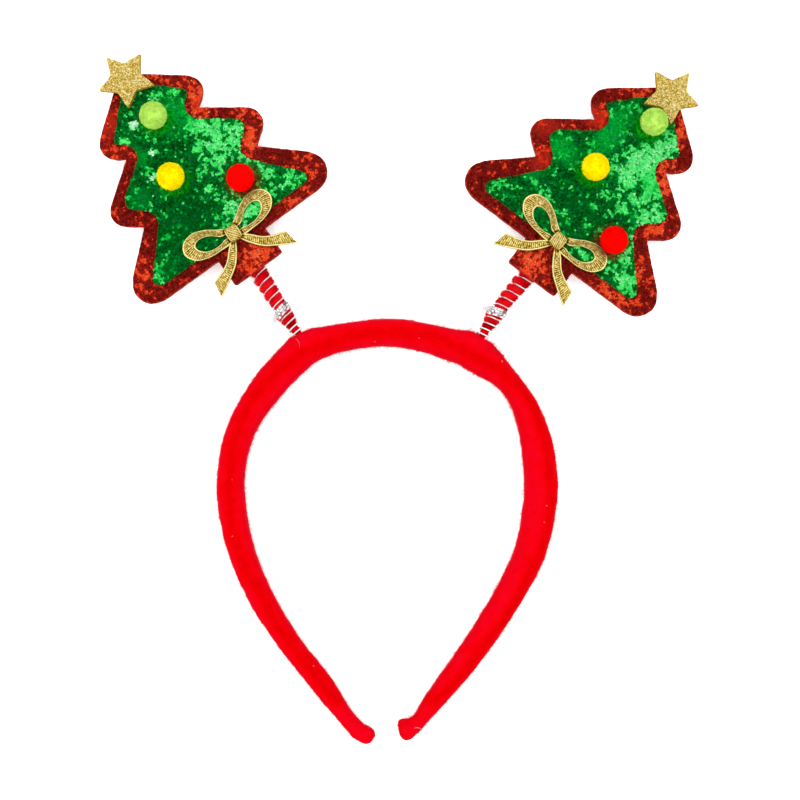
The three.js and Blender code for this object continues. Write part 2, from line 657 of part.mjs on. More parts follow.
// The layers of a tree and what is stuck on it. w = 0 is the back of the board.
function treeMeshes(tree) {
  const panelBack = BOARD_THICKNESS + GLUE_GAP;
  const trimBack = panelBack + PANEL_THICKNESS + GLUE_GAP;
  const star = mesh(`star_${tree.side}`, plate(starShape(tree.starTurn), 0, STAR_THICKNESS), GOLD_GLITTER);
  star.position.set(STAR_ASIDE, TREE_HEIGHT - STAR_BELOW_TOP, trimBack);
  const bow = mesh(`bow_${tree.side}`, bowGeometry(), GOLD_RIBBON);
  bow.position.set(tree.bow.u, tree.bow.v, trimBack);
  bow.rotation.z = radians(tree.bow.turn);
  const bowTop = tree.bow.v + BOW_HEIGHT * Math.max(...LOOP_ROWS.map(({ outerY }) => outerY));
  const balls = tree.balls.map(({ colour, across, up, overBow }) => {
    const ball = mesh(`pompom_${colour}_${tree.side}`, ballGeometry(), BALL_MATERIALS[colour]);
    const v = overBow ? bowTop + overBow * POMPOM_RADIUS : up * TREE_HEIGHT;
    ball.position.set((across * TREE_WIDTH) / 2, v, trimBack + POMPOM_SEAT * POMPOM_RADIUS);
    return ball;
  });
  return [
    mesh(`tree_board_${tree.side}`, plate(boardShape(), 0, BOARD_THICKNESS), RED_GLITTER),
    mesh(`tree_panel_${tree.side}`, plate(panelShape(), panelBack, PANEL_THICKNESS), GREEN_GLITTER),
    star,
    bow,
    ...balls,
  ];
}

function treeGroup(tree) {
  const board = new THREE.Group();
  board.rotation.set(radians(-tree.droop), radians(tree.roll), 0);
  board.position.z = PILE_RADIUS + GLUE_GAP;
  board.add(...treeMeshes(tree));
  const group = new THREE.Group();
  group.applyMatrix4(treeFrame(tree));
  group.add(...springMeshes(tree), board);
  return group;
}

// The whole headband, set down with the middle of its footprint on the origin.
function headband() {
  const assembly = new THREE.Group();
  assembly.add(headbandMesh(), ...TREES.map(treeGroup));
  assembly.updateMatrixWorld(true);
  const box = new THREE.Box3().setFromObject(assembly, true);
  const middle = box.getCenter(new THREE.Vector3());
  assembly.position.set(-middle.x, -middle.y, -box.min.z);
  const group = new THREE.Group();
  group.add(assembly);
  return group;
}

export default headband();
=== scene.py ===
"""The looks of a Christmas tree headband, which lies on a pale floor and is seen from straight above.

Lengths are in millimetres and are turned into the frame's metres where a mesh is made. Each tree has a
frame of its own, with u across it, v up it and w out of its front, which starts at the back of its
trunk's foot.
"""

import math

import bpy
import numpy as np
from mathutils import Matrix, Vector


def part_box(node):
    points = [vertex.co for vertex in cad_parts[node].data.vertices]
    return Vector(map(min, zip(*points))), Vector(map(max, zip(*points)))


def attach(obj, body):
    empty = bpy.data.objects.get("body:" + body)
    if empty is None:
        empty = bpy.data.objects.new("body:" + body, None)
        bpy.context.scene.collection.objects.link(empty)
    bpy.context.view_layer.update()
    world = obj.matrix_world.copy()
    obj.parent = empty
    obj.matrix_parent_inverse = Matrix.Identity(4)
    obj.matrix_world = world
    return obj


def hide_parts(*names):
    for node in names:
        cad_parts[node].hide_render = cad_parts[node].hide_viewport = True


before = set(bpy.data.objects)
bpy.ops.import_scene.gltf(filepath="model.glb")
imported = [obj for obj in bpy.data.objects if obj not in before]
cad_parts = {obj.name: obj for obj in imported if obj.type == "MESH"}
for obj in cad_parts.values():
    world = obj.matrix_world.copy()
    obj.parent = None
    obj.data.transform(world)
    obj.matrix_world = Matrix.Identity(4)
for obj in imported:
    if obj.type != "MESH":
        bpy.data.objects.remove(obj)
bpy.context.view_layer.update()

MM = 0.001

# How the trees stand. The angles are in degrees; axis is how far the spring's axis runs beside the trunk's
# middle at its foot, middle and top; bow is the knot's u and v and the bow's turn.
TREES = {
    "left": dict(turn=35.5, droop=2.0, roll=-1.5, axis=(-2.2, -1.6, -0.5), bow=(0.1, 16.4, 0.0)),
    "right": dict(turn=-36.8, droop=3.0, roll=1.5, axis=(-1.9, -2.6, -1.5), bow=(-0.7, 17.4, -4.5)),
}

# The springs, as in the part.
BOARD_ABOVE_AXIS = 3.6
SPRING_LENGTH = 27.2
SPRING_TAIL = 12.0
SOCKET_DEPTH = 3.85
COIL_RADIUS = 2.4
WIRE_RADIUS = 0.3
TURNS = 15
PITCH_GROWTH = 1.35
PILE_RADIUS = 3.3
GROOVE_RADIUS = 1.9
PILE_SWELL = 0.45
TIE_PLACE = 0.32
TIE_LENGTH = 3.4
TIE_LEAN = 14

# The bow's strips, as in the part. Each row gives outer x and y and inner x and y, as shares of half the
# bow's width and of its height, from the middle of the knot.
BOW_WIDTH = 40.0
BOW_HEIGHT = 26.5
BOW_THICKNESS = 1.2
KNOT_SIZE = (5.2, 6.4, 1.9)
LOOP_ROWS = [
    (0.04, 0.105, 0.04, 0.03), (0.225, 0.185, 0.22, 0.05), (0.425, 0.283, 0.4, 0.16),
    (0.675, 0.34, 0.61, 0.204), (0.91, 0.283, 0.715, 0.166), (0.995, 0.14, 0.72, 0.102),
    (0.88, -0.011, 0.63, 0.019), (0.625, -0.091, 0.475, -0.026), (0.375, -0.109, 0.3, -0.026),
    (0.18, -0.113, 0.2, -0.004), (0.04, -0.087, 0.04, -0.019),
]
TAIL_ROWS = [
    (0.11, -0.053, 0.02, -0.1), (0.26, -0.155, 0.145, -0.249), (0.415, -0.275, 0.31, -0.396),
    (0.6, -0.351, 0.515, -0.502), (0.82, -0.404, 0.885, -0.66),
]

# Where the glitter catches the light: u, v, how far across and up it reaches, and how strongly.
GREEN_GLEAMS = {
    "left": [
        (17, 54, 7, 5, 0.6), (23, 47, 6, 4, 0.7), (13, 47, 6, 5, 0.5), (17, 40, 5, 4, 0.6),
        (12, 58, 3, 4, 0.5), (22, 35, 3, 5, 0.6), (24, 28, 4, 5, 0.5), (32, 20, 3, 3, 0.25),
        (26, 19, 4, 3, 0.3), (5, 26, 6, 4, 0.8), (10, 20, 6, 4, 0.85), (2, 35, 3, 4, 0.6),
        (7, 41, 4, 3, 0.4), (-14, 69, 3, 2, 0.8), (-7, 72, 2.5, 1.5, 1.1), (-8, 59.5, 2, 1.5, 0.9),
        (-13, 51.5, 2, 1.2, 0.7), (-22, 45, 4, 3, 0.3), (-33, 19, 2, 2, 0.3), (-31, 25, 3, 2, 0.25),
        (-16, 32, 2, 1.5, 0.4), (2, 76, 6, 3, 0.3), (9, 74, 5, 4, 0.3), (-4, 32, 12, 12, -0.15),
        (1, 56, 6, 8, -0.15),
    ],
    "right": [
        (5, 60, 5, 8, 0.75), (10, 66, 5, 6, 0.7), (11, 74, 5, 5, 0.7), (4, 53, 5, 3, 0.6),
        (16, 57, 6, 5, 0.7), (23, 47, 6, 5, 0.75), (14, 47, 5, 3, 0.35), (18, 41, 5, 3, 0.5),
        (22, 34, 3, 5, 0.65), (28, 21, 6, 5, 0.6), (24, 28, 4, 4, 0.4), (2, 36, 3, 2, 0.5),
        (5, 28, 3, 2, 0.55), (-5, 26, 2.5, 1.5, 0.5), (9, 20, 4, 2.5, 0.55), (-15, 28, 3, 1.5, 0.5),
        (-12, 24, 3, 1.5, 0.35), (-9, 74, 4, 3, 0.4), (7, 44, 5, 4, 0.2), (-14, 68, 3, 3, 0.35),
    ],
}
RED_GLEAMS = {
    "left": [
        (19, 68, 5, 7, 0.8), (14, 60, 4, 4, 0.7), (25, 41, 5, 5, 0.8), (12, 80, 6, 5, 0.4),
        (30, 53, 6, 6, 0.4), (-21, 70, 4, 5, 0.55), (-13, 63, 3, 4, 0.5), (-38, 24, 6, 8, 0.45),
        (2, 5, 7, 6, 0.8), (26, 14, 8, 3, 0.4), (37, 22, 5, 5, 0.3),
    ],
    "right": [
        (19, 58, 5, 6, 0.8), (12, 79, 5, 5, 0.75), (14, 66, 3, 5, 0.6), (26, 43, 5, 5, 0.6),
        (32, 29, 6, 6, 0.45), (28, 14, 9, 3, 0.7), (-14, 65, 4, 5, 0.5), (-22, 56, 8, 5, 0.3),
        (-24, 40, 5, 6, 0.4), (-3, 6, 7, 6, 0.8), (-9, 82, 4, 4, 0.5),
    ],
}

# Where the flakes shine white: u, v, and how far across and up.
GREEN_GLINTS = {
    "left": [
        (-6, 72, 2.4, 1.3), (-8, 59.5, 1.5, 1.3), (-13, 51.5, 1.4, 0.8),
    ],
    "right": [],
}

# Where the flakes lie evenly and all shine alike: u, v, how far across and up, and the shade.
GREEN_CALM = {
    "left": [
        (9, 66, 5, 8, 0.47), (4, 62, 4, 5, 0.4), (-12, 61, 3, 5, 0.4), (-21, 48, 5, 3, 0.34),
        (-14, 28, 10, 8, 0.2), (-28, 20, 4, 3, 0.26),
    ],
    "right": [
        (-9, 62, 5, 13, 0.5), (-20, 46, 7, 5, 0.5), (15, 57, 4, 5, 0.63), (-24, 35, 4, 6, 0.42),
        (-2, 33, 10, 3, 0.2), (-8, 23, 8, 3, 0.22),
    ],
}
RED_CALM = {
    "left": [
        (-15, 79, 6, 6, 0.48), (19, 64, 4, 3, 0.64),
    ],
    "right": [
        (-17, 64, 5, 4, 0.52), (-30, 50, 7, 5, 0.42), (-23, 38, 4, 6, 0.46),
    ],
}

# How many cells the noise's lattice has to a side before it repeats.
LATTICE = 32


def lumps(points, size, seed):
    """Smooth noise from -1 to 1 at flat or solid points, with lumps about size across."""
    lattice = np.random.default_rng(seed).uniform(-1, 1, (LATTICE,) * 3)
    points = np.asarray(points, float)
    place = np.zeros((*points.shape[:-1], 3))
    place[..., : points.shape[-1]] = points / size
    low = np.floor(place).astype(int)
    part = place - low
    part = part * part * (3 - 2 * part)
    total = np.zeros(place.shape[:-1])
    for corner in np.ndindex(2, 2, 2):
        weight = np.prod(np.where(np.array(corner, bool), part, 1 - part), axis=-1)
        total += weight * lattice[tuple(np.moveaxis((low + corner) % LATTICE, -1, 0))]
    return total


def unit(vectors):
    return vectors / np.maximum(np.linalg.norm(vectors, axis=-1, keepdims=True), 1e-9)


LIGHT_LEVEL = 2.6  # how much brighter than white the floor is lit


def rgb(red, green, blue, gain=1.0):
    """The share of light that a surface gives back when it shows on screen as this colour, from 0 to 255.

    gain makes up for the light that fluff loses in its own shadow.
    """
    shares = [value / 255 for value in (red, green, blue)]
    linear = [s / 12.92 if s < 0.04045 else ((s + 0.055) / 1.055) ** 2.4 for s in shares]
    return (*[min(value * gain / LIGHT_LEVEL, 0.98) for value in linear], 1.0)


def colour_stops(*rows):
    """A ramp's stops, from rows of a value and what rgb takes."""
    return [(value, rgb(*colour)) for value, *colour in rows]


# Materials

MATERIALS = {}


class Finish:
    """A material whose nodes are added one after another, kept in MATERIALS under its name."""

    def __init__(self, name, **values):
        material = bpy.data.materials.new(name)
        material.use_nodes = True
        MATERIALS[name] = material
        self.nodes = material.node_tree.nodes
        self.links = material.node_tree.links
        self.shader = self.nodes["Principled BSDF"]
        for socket, value in values.items():
            self.shader.inputs[socket.replace("_", " ")].default_value = value

    def node(self, kind, inputs=None, **settings):
        made = self.nodes.new("ShaderNode" + kind)
        for key, value in settings.items():
            setattr(made, key, value)
        for socket, value in (inputs or {}).items():
            if isinstance(value, bpy.types.NodeSocket):
                self.links.new(value, made.inputs[socket])
            else:
                made.inputs[socket].default_value = value
        return made

    def place(self):
        """Where a point is, in metres in the frame."""
        return self.node("TexCoord").outputs["Object"]

    def noise(self, grain, detail=2.0):
        """Noise whose lumps are about grain millimetres across."""
        inputs = {"Vector": self.place(), "Scale": 1 / (grain * MM), "Detail": detail}
        return self.node("TexNoise", inputs).outputs[0]

    def cells(self, grain):
        """A random value for each cell of about grain millimetres."""
        inputs = {"Vector": self.place(), "Scale": 1 / (grain * MM)}
        made = self.node("TexVoronoi", inputs)
        return self.node("SeparateColor", {0: made.outputs["Color"]}).outputs[0]

    def attribute(self, name):
        return self.node("Attribute", attribute_name=name).outputs["Fac"]

    def sum(self, first, second, weight):
        """The first value plus the second one times its weight."""
        inputs = {0: second, 1: weight, 2: first}
        return self.node("Math", inputs, operation="MULTIPLY_ADD").outputs[0]

    def ramp(self, value, stops):
        """Colours by a value: stops are pairs of a value and a colour."""
        made = self.node("ValToRGB", {0: value})
        elements = made.color_ramp.elements
        while len(elements) < len(stops):
            elements.new(0.5)
        for element, (position, colour) in zip(elements, stops):
            element.position = position
            element.color = colour
        return made.outputs[0]

    def mix(self, factor, first, second):
        return self.node("MixRGB", {0: factor, 1: first, 2: second}).outputs[0]

    def glow(self, colour):
        """Tints a colour where a ball of pile stands close by and colours the light."""
        colour = self.mix(self.attribute("lime_near"), colour, rgb(16, 196, 8))
        return self.mix(self.attribute("red_near"), colour, rgb(150, 26, 12))

    def paint(self, colour):
        self.links.new(colour, self.shader.inputs["Base Color"])

    def rough(self, value, low, high):
        spread = self.node("MapRange", {0: value, 3: low, 4: high})
        self.links.new(spread.outputs[0], self.shader.inputs["Roughness"])

    def bump(self, value, depth):
        """Relief of depth millimetres."""
        made = self.node("Bump", {"Height": value, "Distance": depth * MM, "Strength": 1.0})
        self.links.new(made.outputs[0], self.shader.inputs["Normal"])


def soft_red(name, dark, middle, light, grain):
    """Red felt or pile: fibres of slightly different reds under a pale sheen, painted darker and lighter
    by the shade and highlight that each piece paints on its points.
    """
    sheen = {"Sheen_Weight": 0.2, "Sheen_Roughness": 0.25, "Sheen_Tint": (1, 0.3, 0.36, 1)}
    finish = Finish(name, Roughness=0.95, Specular_IOR_Level=0.0, **sheen)
    shade = finish.sum(finish.attribute("shade"), finish.noise(grain * 5, 4), 0.3)
    finish.paint(finish.ramp(shade, [(0.3, dark), (0.6, middle), (0.9, light)]))
    finish.bump(finish.noise(grain * 0.6, 4), 0.12)


def pompom_finish(name, dark, light, sheen=0.02):
    finish = Finish(name, Roughness=0.9, Specular_IOR_Level=0.0, Sheen_Weight=sheen, Sheen_Roughness=0.3)
    shade = finish.sum(finish.noise(1.6, 3), finish.attribute("shade"), 0.6)
    finish.paint(finish.ramp(shade, [(0.4, dark), (0.9, light)]))
    finish.bump(finish.noise(0.35, 3), 0.1)


def glitter_finish(name, stops, grain, glint, metal=0.5):
    """Film flakes whose colour follows how much light their patch catches; a few glint in another."""
    finish = Finish(name, Metallic=metal, Specular_IOR_Level=0.0)
    shade = finish.sum(finish.attribute("shade"), finish.noise(grain, 3), 0.12)
    colour = finish.ramp(shade, stops)
    glinting = finish.ramp(finish.cells(grain), [(0.94, (0, 0, 0, 1)), (0.96, (0.6, 0.6, 0.6, 1))])
    colour = finish.mix(glinting, colour, glint)
    finish.paint(finish.glow(colour))
    finish.rough(finish.cells(grain), 0.18, 0.42)


def backing_finish(name, dark, light, grain):
    """The cloth that the flakes are glued to, and a board's cut edge."""
    finish = Finish(name, Roughness=0.7, Metallic=0.2, Specular_IOR_Level=0.1)
    finish.paint(finish.ramp(finish.cells(grain), [(0.1, dark), (0.9, light)]))
    finish.bump(finish.noise(grain, 3), 0.1)


# A value and the colour on screen there, with a gain where it needs one.
GREEN_STOPS = colour_stops(
    (0.08, 0, 50, 8), (0.28, 0, 92, 26), (0.46, 0, 144, 42), (0.62, 10, 200, 64), (0.8, 80, 250, 118),
    (1.0, 200, 255, 208),
)
RED_STOPS = colour_stops(
    (0.08, 66, 6, 2), (0.28, 120, 22, 16), (0.46, 168, 36, 26), (0.62, 238, 50, 18), (0.8, 255, 84, 38),
    (1.0, 255, 160, 110),
)
GOLD_STOPS = colour_stops(
    (0.1, 164, 124, 14), (0.4, 226, 186, 62, 1.1), (0.7, 255, 224, 112, 1.3), (1.0, 255, 252, 206, 1.6),
)
RIBBON_STOPS = colour_stops(
    (0.05, 56, 36, 0), (0.32, 128, 94, 10), (0.58, 222, 186, 70), (0.8, 254, 230, 128, 1.15),
    (1.0, 255, 250, 184, 1.35),
)
WIRE_STOPS = colour_stops(
    (0.15, 60, 24, 24), (0.5, 150, 136, 132), (0.8, 214, 210, 208), (1.0, 255, 255, 255, 1.8),
)
FILM_STOPS = colour_stops(
    (0.0, 20, 14, 18), (0.3, 104, 100, 104), (0.6, 206, 206, 210), (0.85, 255, 255, 255, 1.6),
)

soft_red("red_felt", rgb(236, 0, 5), rgb(254, 1, 12), rgb(255, 5, 34), 0.5)
soft_red("red_pile", rgb(150, 0, 6, 1.45), rgb(240, 1, 16, 1.45), rgb(255, 40, 50, 1.45), 0.4)
pompom_finish("pale_lint", rgb(255, 40, 44), rgb(255, 206, 196))
pompom_finish("lime_pompom", rgb(150, 214, 44, 1.65), rgb(198, 240, 110, 1.65), 0.12)
pompom_finish("yellow_pompom", rgb(252, 216, 0, 1.8), rgb(255, 236, 0, 1.8), 0.05)
pompom_finish("red_pompom", rgb(244, 0, 0, 1.8), rgb(255, 6, 3, 1.8))
glitter_finish("green_glitter", GREEN_STOPS, 0.8, rgb(6, 128, 84))
glitter_finish("red_glitter", RED_STOPS, 0.4, rgb(110, 14, 40))
glitter_finish("gold_glitter", GOLD_STOPS, 0.3, rgb(226, 190, 40), 0.35)
backing_finish("green_glitter_cloth", rgb(40, 84, 26), rgb(92, 120, 44), 0.5)
backing_finish("red_glitter_cloth", rgb(160, 30, 22), rgb(214, 58, 42), 0.35)
backing_finish("gold_foam", rgb(190, 146, 14), rgb(222, 180, 34), 0.6)

ribbon = Finish("gold_ribbon", Metallic=0.5, Specular_IOR_Level=0.15)
bright = ribbon.sum(ribbon.attribute("shade"), ribbon.cells(0.3), 0.3)
ribbon.paint(ribbon.glow(ribbon.ramp(bright, RIBBON_STOPS)))
ribbon.rough(ribbon.cells(0.32), 0.25, 0.5)
ribbon.bump(ribbon.noise(0.3, 2), 0.06)

wire = Finish("silver_wire", Metallic=0.35)
bright = wire.sum(wire.attribute("shade"), wire.noise(1.0), 0.35)
wire.paint(wire.ramp(bright, WIRE_STOPS))
wire.rough(wire.noise(0.8), 0.2, 0.4)

film = Finish("clear_film", Alpha=0.65, Specular_IOR_Level=0.8)
film.paint(film.ramp(film.attribute("shade"), FILM_STOPS))
film.rough(film.noise(0.6), 0.04, 0.2)

pale = Finish("pale_floor", Roughness=0.9, Specular_IOR_Level=0.0)
pale.paint(pale.ramp(pale.noise(40, 2), [(0.3, (0.95, 0.95, 0.95, 1)), (0.7, (0.97, 0.97, 0.97, 1))]))


# Meshes and frames


def added(name, data):
    """A new object in the scene."""
    made = bpy.data.objects.new(name, data)
    bpy.context.scene.collection.objects.link(made)
    return made


def give(mesh, key, value):
    """Gives the mesh's points a value that its material reads."""
    values = np.full(len(mesh.vertices), np.ravel(value), np.float32)
    mesh.attributes.new(key, "FLOAT", "POINT").data.foreach_set("value", values)


def piece(name, points, faces, material, nodes=(), smooth=False, **values):
    """A piece from points in millimetres in the row's frame, and the numbers of each face's corners."""
    mesh = bpy.data.meshes.new(name)
    corners = (np.reshape(points, (-1, 3)) * MM).tolist()
    mesh.from_pydata(corners, [], list(faces), shade_flat=not smooth)
    for key, value in values.items():
        give(mesh, key, value)
    dress(added(name, mesh), material, nodes)


def dress(made, material, nodes=()):
    """Gives a piece its material, lets it ride on the headband, and hides the nodes that it stands in for.
    """
    made.data.materials.clear()
    made.data.materials.append(MATERIALS[material])
    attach(made, "root")
    if nodes:
        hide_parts(*nodes)


def joined(*parts):
    """Points, faces and shades of several parts as one."""
    corners = [np.reshape(points, (-1, 3)) for points, _, _ in parts]
    starts = np.cumsum([0] + [len(points) for points in corners])
    faces = [quads + start for (_, quads, _), start in zip(parts, starts)]
    shades = [np.ravel(shade) for _, _, shade in parts]
    return np.concatenate(corners), np.concatenate(faces), np.concatenate(shades)


def vectors(mesh, key):
    """The place or the normal of each of the mesh's points."""
    values = np.empty(len(mesh.vertices) * 3)
    mesh.vertices.foreach_get(key, values)
    return values.reshape(-1, 3)


def node_points(name):
    """A node's corners in millimetres in the row's frame."""
    return vectors(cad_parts[name].data, "co") / MM


def extent(points):
    """The lowest and the highest of each of the points' coordinates."""
    return points.min(0), points.max(0)


class Tree:
    """A tree's frame, worked out from its angles and from where its board lies."""

    def __init__(self, side, facts):
        self.side = side
        self.facts = facts
        upright = Matrix.Rotation(math.radians(facts["turn"]), 3, "Z")
        tilt = Matrix.Rotation(-math.radians(facts["droop"]), 3, "X")
        roll = Matrix.Rotation(math.radians(facts["roll"]), 3, "Y")
        self.upright = np.array(upright)
        self.axes = np.array(upright @ tilt @ roll)
        low, high = extent(node_points(f"tree_board_{side}") @ self.axes)
        self.origin = self.axes @ np.array([(low[0] + high[0]) / 2, low[1], low[2]])
        self.spring_origin = self.origin - [0, 0, BOARD_ABOVE_AXIS]

    def world(self, points):
        return points @ self.axes.T + self.origin

    def beside(self, points):
        """From the spring's frame, which is turned with the tree but does not droop."""
        return points @ self.upright.T + self.spring_origin

    def corners(self, name):
        """The corners of one of the tree's nodes, in the tree's frame."""
        return (node_points(f"{name}_{self.side}") - self.origin) @ self.axes

    def span(self, name):
        return extent(self.corners(name))

    def outline(self, name):
        """The outline of a flat node's front, anticlockwise in u and v, and the front's height."""
        points = self.corners(name)
        top = points[:, 2].max()
        keys = [tuple(place) for place in np.round(points[:, :2], 3)]
        edges = set()
        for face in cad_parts[f"{name}_{self.side}"].data.polygons:
            corners = list(face.vertices)
            if all(points[corners, 2] > top - 0.01):
                for a, b in zip(corners, corners[1:] + corners[:1]):
                    edges.add((keys[a], keys[b]))
        following = {a: b for a, b in edges if (b, a) not in edges}
        loop = [min(following)]
        while following[loop[-1]] != loop[0]:
            loop.append(following[loop[-1]])
        return np.array(loop), top


def turning(loop):
    """How many degrees an outline turns left at each point, and the steps before and after it."""
    back = loop - np.roll(loop, 1, 0)
    on = np.roll(loop, -1, 0) - loop
    cross = back[:, 0] * on[:, 1] - back[:, 1] * on[:, 0]
    return np.degrees(np.arctan2(cross, (back * on).sum(1))), back, on


def softened(loop, sharpest=45, rounds=2):
    """The outline with its gentle corners cut rounder and its sharp ones kept."""
    for _ in range(rounds):
        angles, back, on = turning(loop)
        cut = 0.25 * np.minimum(np.linalg.norm(back, axis=1), np.linalg.norm(on, axis=1))
        made = []
        for point, angle, before, after, reach in zip(loop, angles, unit(back), unit(on), cut):
            if 1 < abs(angle) < sharpest:
                made += [point - before * reach, point + after * reach]
            else:
                made.append(point)
        loop = np.array(made)
    return loop


def spaced(loop, step):
    """The outline with points about step apart, its corners kept."""
    made = []
    for a, b in zip(loop, np.roll(loop, -1, 0)):
        count = max(1, int(np.ceil(np.linalg.norm(b - a) / step)))
        made += [a + (b - a) * i / count for i in range(count)]
    return np.array(made)


def inside(points, loop):
    """Which points are inside the outline."""
    within = np.zeros(len(points), bool)
    x, y = points.T
    for (ax, ay), (bx, by) in zip(loop, np.roll(loop, -1, 0)):
        if ay != by:
            crosses = ((ay > y) != (by > y)) & (x < (bx - ax) * (y - ay) / (by - ay) + ax)
            within ^= crosses
    return within


def inset(loop, distance):
    """The outline moved inwards."""
    _, back, on = turning(loop)
    along = unit(unit(back) + unit(on))
    return loop + np.stack([-along[:, 1], along[:, 0]], 1) * np.reshape(distance, (-1, 1))


# How far apart the rows of an even lattice are, as a share of its pitch.
ROW_STEP = 0.866


def lattice_points(loop, pitch, rng):
    """Points about pitch apart inside the outline, in rows that are jogged at random."""
    low, high = extent(loop)
    rows = np.arange(low[1], high[1], pitch * ROW_STEP)
    columns = np.arange(low[0], high[0], pitch)
    u, v = np.meshgrid(columns, rows)
    u = u + (np.arange(len(rows)) % 2)[:, None] * pitch / 2
    points = np.stack([u.ravel(), v.ravel()], 1)
    points += rng.normal(0, pitch * 0.28, points.shape)
    return points[inside(points, loop)]


def ring_faces(rings, sides, closed=True):
    """Quads between rings of equally many points."""
    j = np.arange(sides if closed else sides - 1)
    k = (j + 1) % sides
    rows = (np.arange(rings - 1) * sides)[:, None]
    return np.stack([rows + j, rows + k, rows + k + sides, rows + j + sides], -1).reshape(-1, 4)


# Flat layers and their glitter

EDGE_STEP = 0.8  # how far apart the points of a layer's outline are at most


def layer(tree, name, material, edge, wobble, seed):
    """A flat board with its cut edge a little rounded and uneven, in place of its node.

    Gives its outline and the height of its top.
    """
    loop, top = tree.outline(name)
    low, _ = tree.span(name)
    loop = spaced(softened(loop), EDGE_STEP)
    loop = inset(loop, wobble * lumps(loop, 1.4, seed))
    rings = [
        (inset(loop, edge * 0.5), low[2]),
        (loop, low[2] + edge * 0.5),
        (loop, top - edge),
        (inset(loop, edge), top),
    ]
    points = np.concatenate([np.column_stack([ring, np.full(len(ring), w)]) for ring, w in rings])
    count = len(loop)
    faces = ring_faces(len(rings), count).tolist()
    faces += [list(range(count))[::-1], list(range(3 * count, 4 * count))]
    node = f"{name}_{tree.side}"
    piece(f"{node}_body", tree.world(points), faces, material, [node])
    return loop, top


def from_spot(points, u, v, across, up):
    """How far points are from the middle of a spot whose rim is at 1."""
    return np.hypot((points[:, 0] - u) / across, (points[:, 1] - v) / up)


def gleam(points, spots, ground):
    """How much light the glitter catches at each point."""
    total = np.full(len(points), float(ground))
    for *spot, strength in spots:
        total += strength * np.exp(-(from_spot(points, *spot) ** 2))
    return np.minimum(total, 0.95)


# How far a ball tints the light round it, and how strongly at most.
TINT_REACH = 3.2
TINT_STRENGTH = 0.85


def near_balls(tree, points):
    """How strongly the light beside the balls is tinted at the tree's points, mostly below the balls."""
    tints = {"lime_near": np.zeros(len(points)), "red_near": np.zeros(len(points))}
    for colour, key in (("lime", "lime_near"), ("yellow", "lime_near"), ("red", "red_near")):
        low, high = tree.span(f"pompom_{colour}")
        radius = (high[0] - low[0]) / 2
        away = points[:, :2] - (low + high)[:2] / 2
        distance = np.linalg.norm(away, axis=1)
        below = 0.5 - 0.5 * away[:, 1] / np.maximum(distance, 0.1)
        reach = np.clip(1 - (distance - radius) / TINT_REACH, 0, 1)
        tint = TINT_STRENGTH * reach**1.5 * (0.15 + 0.85 * below**2)
        tints[key] = np.maximum(tints[key], tint)
    return tints


FLAKE_SIDES = 6


def flakes(tree, colour, centres, top, radius, tilt, shade, rng):
    """Six-sided flakes of film, each lying at its own slant. tilt is in degrees."""
    count = len(centres)
    corner = np.arange(FLAKE_SIDES) * math.pi / 3
    turn = rng.uniform(0, math.pi / 3, count)[:, None] + corner
    size = radius * rng.uniform(0.8, 1.15, count)[:, None]
    across = size * np.cos(turn)
    up = size * np.sin(turn)
    slope = np.tan(np.radians(rng.normal(0, tilt, (count, 2))))
    height = across * slope[:, :1] + up * slope[:, 1:]
    lift = np.abs(slope).sum(1)[:, None] * radius + rng.uniform(0.02, 0.14, count)[:, None]
    local = np.stack([centres[:, :1] + across, centres[:, 1:] + up, top + lift + height], -1)
    values = {"shade": shade, **near_balls(tree, centres)}
    values = {key: np.repeat(value, FLAKE_SIDES) for key, value in values.items()}
    faces = np.arange(count * FLAKE_SIDES).reshape(-1, FLAKE_SIDES)
    piece(f"{colour}_flakes_{tree.side}", tree.world(local), faces, f"{colour}_glitter", **values)


def speckled(points, light, calm, glints, grain, seed, rng):
    """The light that each flake catches: clusters lie flat to the light and shine, others stay dark."""
    clusters = 0.6 * lumps(points, grain, seed) + 0.6 * lumps(points, grain * 0.5, seed + 1)
    level = light + 0.9 * clusters + rng.normal(0, 0.09, len(points))
    shining = np.clip((level - 0.44) / 0.1, 0, 1)
    dark = 0.22 + 0.25 * light + 0.12 * clusters + rng.normal(0, 0.07, len(points))
    bright = 0.66 + 0.1 * light + rng.normal(0, 0.06, len(points))
    shade = dark + (bright - dark) * shining
    for *spot, even in calm:
        weight = 0.85 * np.exp(-(from_spot(points, *spot) ** 4)) * np.clip(1.2 - clusters, 0, 1)
        shade += weight * (even + rng.normal(0, 0.04, len(points)) - shade)
    for spot in glints:
        shade += 0.45 * shining * np.exp(-(from_spot(points, *spot) ** 2))
    sparkle = rng.random(len(points)) < 0.008 * (0.5 + light) * (1 - shining)
    return np.clip(shade + 0.4 * sparkle, 0, 1.1)


def green_panel(tree):
    rng = np.random.default_rng(11)
    loop, top = layer(tree, "tree_panel", "green_glitter_cloth", 0.25, 0.22, 3)
    centres = lattice_points(inset(loop, 0.2), 0.58, rng)
    light = gleam(centres, GREEN_GLEAMS[tree.side], 0.03)
    shade = speckled(centres, light, GREEN_CALM[tree.side], GREEN_GLINTS[tree.side], 1.9, 21, rng)
    flakes(tree, "green", centres, top, 0.48, 9, shade, rng)
    return loop


def red_board(tree, panel):
    rng = np.random.default_rng(12)
    loop, top = layer(tree, "tree_board", "red_glitter_cloth", 0.35, 0.12, 5)
    centres = lattice_points(inset(loop, 0.35), 0.44, rng)
    centres = centres[~inside(centres, inset(panel, 1.0))]
    light = gleam(centres, RED_GLEAMS[tree.side], -0.02)
    shade = speckled(centres, light, RED_CALM[tree.side], (), 1.6, 31, rng)
    flakes(tree, "red", centres, top, 0.34, 9, shade, rng)


